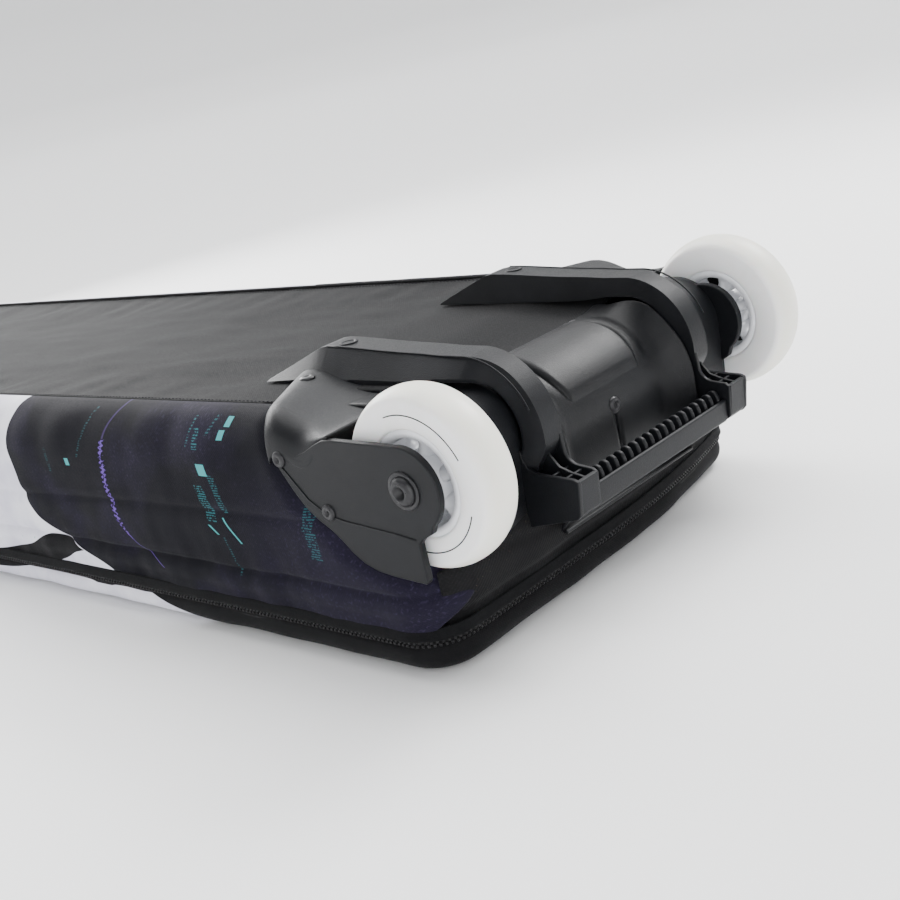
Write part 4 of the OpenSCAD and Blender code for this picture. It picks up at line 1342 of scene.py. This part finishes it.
def insert_panel():
    """Coarse panel between the rails in front of the guard, with a curved front seam."""
    rows = columns = 60
    half_width, back = 57.6, -38.2
    points = np.zeros((rows, columns, 3))
    for r, y in enumerate(np.linspace(-half_width, half_width, rows)):
        front = -118 - 30 * (y / half_width) ** 2
        for c, t in enumerate(np.linspace(0, 1, columns)):
            x = back + (front - back) * t
            z = 21.0 + 4.4 * smooth(-x, 40, 96) - 0.5 * (t > 0.985)
            points[r, c] = at(x, y, z)
    flat = points.reshape(-1, 3)
    flat[:, 2] += noise_at(flat, 26, 21) * 0.5 * MM
    points = flat.reshape(rows, columns, 3)
    panel = grid_object("insert_panel", points, points[..., :2], M_INSERT, "bag", "end_fabric",
                        thickness=1.6 * MM, flip=True)
    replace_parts(panel, "back_insert")
    row = points[:, -3] + np.array([0, 0, 0.5 * MM])
    stitches("insert_stitches", row, (0, 0, 1), M_THREAD)


def fasteners():
    """Domed rivets, guard screw and axle bolt heads."""
    dome = [(0.01, 0), (4.4, 0), (4.4, 0.35), (3.9, 1.0), (2.7, 1.35), (1.6, 1.3), (1.2, 0.7), (0.01, 0.7)]
    small = [(r * 0.55, h * 0.9) for r, h in dome]
    plate_y = 150.0
    plates = [lathe(f"plate_rivet_{s}_{i}", dome, at(x, s * plate_y, z), *DARK, 36, "Y", s)
              for s in LABEL for i, (x, z) in enumerate(((-85, 10), (-57, -16)))]
    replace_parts(merge("side_plate_rivets", plates), "plate_rivets")
    guards = [lathe(f"guard_rivet_{s}_{i}", small, at(-36.4, s * y, 22.3), *DARK, 24, "Z")
              for s in LABEL for i, y in enumerate((29, 35))]
    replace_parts(merge("guard_twin_rivets", guards), "guard_rivets")
    deck = [lathe(f"deck_screw_{s}", dome, at(-112, s * 98, 33.9), *DARK, 36, "Z") for s in LABEL]
    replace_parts(merge("wheel_well_screws", deck), "deck_screws")
    screw = [(0.01, -2), (4.6, -2), (4.6, 0.4), (4.1, 1.3), (3.0, 1.7), (2.2, 1.7), (1.8, 0.6), (0.01, 0.6)]
    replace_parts(lathe("guard_center_screw", screw, at(8.6, 0, -12.5), *DARK, 40, "X"), "guard_screw")
    head = [(0.01, -0.2), (7.2, -0.2), (7.4, 0.6), (7.0, 2.0), (5.8, 3.2), (4.2, 3.6), (3.3, 3.5), (3.0, 1.2),
            (0.01, 1.2)]
    washer = [(6.9, -0.1), (9.6, -0.1), (9.6, 0.5), (9.2, 0.9), (7.1, 0.9), (6.9, 0.5)]
    shaft = [(0.01, 0), (4, 0), (4, -46.4), (0.01, -46.4)]
    for s, label in SIDES:
        parts = [lathe(f"{label}_bolt_{name}", profile, at(0, s * plate_y, 0), *DARK, segments, "Y", s)
                 for name, profile, segments in (("head", head, 48), ("washer", washer, 48), ("shaft", shaft, 24))]
        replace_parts(merge(f"{label}_axle_screw", parts), f"{label}_axle_bolt")


# ---- Wheels ----

def wheel(side):
    """Cast wheel: a rounded tyre with a printed circular line, on a spoked core."""
    label = LABEL[side]
    body = f"{label}_wheel"
    centre = Vector((AXLE_X, side * WHEEL_Y, AXLE_Z))
    half, radius = TYRE_HALF / MM, WHEEL_R / MM
    profile = [(26.2, half - 1.6), (27.0, half - 0.5), (28.0, half), (39.4, half), (40.6, half - 0.25),
               (41.6, half - 0.9), (42.4, half - 1.9), (43.3, half - 3.6), (44.2, half - 6.0), (44.8, half - 8.6),
               (radius, half - 11.0)]
    profile += [(r, -h) for r, h in profile[::-1]]
    tyre = lathe(f"{label}_wheel_tyre", profile, centre, M_TYRE, body, "tyre", 128, "Y", side)
    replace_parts(tyre, f"{label}_tyre")
    line_radius, line_y = 34 * MM, side * (half + 0.02) * MM
    for i, (start, end) in enumerate(((24, 108), (146, 220), (262, 338))):
        path = [centre + Vector((x, line_y, z)) for x, z in arc(0, 0, line_radius, start, end, 39)]
        tube(f"{label}_printed_line_{i}", path, 0.32 * MM, M_LINE, body, "dark_steel", sides=6)
    rim = [(22.6, -10.6), (26.4, -11.0), (26.6, -10), (26.6, 10), (26.4, 11.0), (22.6, 10.6), (22.0, 8), (22.0, -8)]
    hub = [(11.0, -11), (13.6, -11), (14.2, -9.5), (14.2, 9.5), (13.6, 11), (11.0, 11)]
    parts = [lathe(f"{label}_core_rim", rim, centre, M_CORE, body, "core", 96, "Y", side),
             lathe(f"{label}_core_hub", hub, centre, M_CORE, body, "core", 64, "Y", side)]
    # Each ring of a spoke: its distance from the axle, half width and half depth
    spoke = ((13.4, 4.4, 8.8), (15.5, 3.0, 8.0), (18.5, 2.5, 7.6), (21, 3.2, 8.2), (23.2, 5.6, 9.4))
    count = 6
    for i in range(count):
        a = i * math.tau / count + 0.26
        along = Vector((math.cos(a), 0, math.sin(a))) * MM
        across = Vector((-math.sin(a), 0, math.cos(a))) * MM
        deep = Vector((0, side, 0)) * MM
        rings = [[centre + along * r + across * u + deep * v for u, v in soft_box(12, width, depth, 0.7, 0.7)]
                 for r, width, depth in spoke]
        parts.append(loft(f"{label}_spoke_{i}", rings, M_CORE, body, "core"))
    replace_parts(merge(f"{label}_wheel_core", parts), f"{label}_core")


# ---- Handles ----

def plan_normal(path, i):
    """Unit normal of a plan path at its point i."""
    a, b = path[max(i - 1, 0)], path[min(i + 1, len(path) - 1)]
    t = Vector((b[0] - a[0], b[1] - a[1])).normalized()
    return Vector((-t.y, t.x))


def strap_rings(path, low, high, thickness):
    """Flat webbing along a plan path (x, y), standing upright between two heights."""
    rings = []
    middle = (low + high) / 2
    section = ((-1, low), (1, low), (1, middle), (1, high), (-1, high), (-1, middle))
    for i, (x, y) in enumerate(path):
        n = plan_normal(path, i) * thickness / 2
        rings.append([(x + n.x * s, y + n.y * s, h) for s, h in section])
    return rings


def handle(label, path, z_low, z_high, grip_from, grip_to, replace_webbing, replace_grip):
    path = [tuple(p[:2]) for p in resample([(x, y, 0) for x, y in path], 3 * MM)]
    webbing = loft(f"{label}_strap", strap_rings(path, z_low, z_high, 2.2 * MM), M_WEB, "bag", "webbing")
    add_bevel(webbing, 0.5 * MM, 2)
    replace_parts(webbing, replace_webbing)
    n = len(path)
    lo, hi = int(n * grip_from), int(n * grip_to)
    rings = []
    mid, tall = (z_low + z_high) / 2, (z_high - z_low) / 2 + 3 * MM
    for i in range(lo, hi):
        (x, y), normal = path[i], plan_normal(path, i)
        edge = min(i - lo, hi - 1 - i)
        fat = (3.0 + 2.0 * min(1, edge / 3)) * MM
        rings.append([(x + normal.x * u, y + normal.y * u, mid + v) for u, v in soft_box(20, fat, tall, 0.8, 0.6)])
    grip = loft(f"{label}_padded_grip", rings, M_BLACK_PAD, "bag", "webbing")
    grip.modifiers.new("smooth", "SUBSURF").levels = 1
    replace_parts(grip, replace_grip)


def add_handles():
    for side, label in SIDES:
        low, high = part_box(f"{label}_handle_webbing")
        wall_y = side * HALF_W
        mid = (low.x + high.x) / 2
        sewn, bend = 58 * MM, 18 * MM                # the flat sewn end, and the bend out from the wall
        near, reach = 1.6 * MM, 15.5 * MM            # how far the strap stands out at its end and at the grip
        path = [(low.x, wall_y + side * near), (low.x + sewn, wall_y + side * near)]
        for t in np.linspace(0, 1, 9)[1:]:
            path.append((low.x + sewn + bend * t, wall_y + side * (near + (reach - near) * smooth(t, 0, 1))))
        right_part = [(2 * mid - x, y) for x, y in path[::-1]]
        handle(f"{label}_side", path + right_part, low.z, high.z, 0.33, 0.67,
               f"{label}_handle_webbing", f"{label}_handle_grip")
    low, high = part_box("nose_handle_webbing")
    out = low.x + 2 * MM
    path = [(NOSE_X + 0.5 * MM, low.y), (NOSE_X - 8 * MM, low.y + 0.5 * MM), (out + 6 * MM, low.y + 4 * MM),
            (out, low.y + 12 * MM), (out, high.y - 12 * MM), (out + 6 * MM, high.y - 4 * MM),
            (NOSE_X - 8 * MM, high.y - 0.5 * MM), (NOSE_X + 0.5 * MM, high.y)]
    handle("nose", path, low.z, high.z, 0.24, 0.76, "nose_handle_webbing", "nose_handle_grip")


# ---- Finishes on the CAD's own pieces ----

def finish_node(name, material, bevel=0.0):
    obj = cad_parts[name]
    obj.data.materials.clear()
    obj.data.materials.append(material)
    if bevel:
        add_bevel(obj, bevel, 2)


def finish_nodes():
    plain = {M_BOARD: ["back_board"], M_BUCKLE: ["front_buckle", "rear_buckle"],
             M_WEB: ["front_tie_strap", "rear_tie_strap"],
             M_SLIDER: ["front_zip_slider", "front_zip_pull", "rear_zip_slider", "rear_zip_pull"],
             M_STEEL: ["backing_strips", "bar_screws"]}
    for material, names in plain.items():
        for name in names:
            finish_node(name, material, 0.4 * MM)
    for label in ("right", "left"):
        for part in ("axle_nut", "inner_races", "outer_races", "spacers", "bearing_balls", "shields"):
            finish_node(f"{label}_{part}", M_STEEL)


def add_chassis():
    for side in LABEL:
        for build in (side_plate, wheel_well, inner_shelf, inner_plate, skid_rail, foot_block):
            build(side)
    guard_piece()
    insert_panel()
    bar_piece()
    fasteners()


add_camera()
add_studio()
finish_nodes()
add_bag()
add_chassis()
for wheel_side in LABEL:
    wheel(wheel_side)
add_handles()
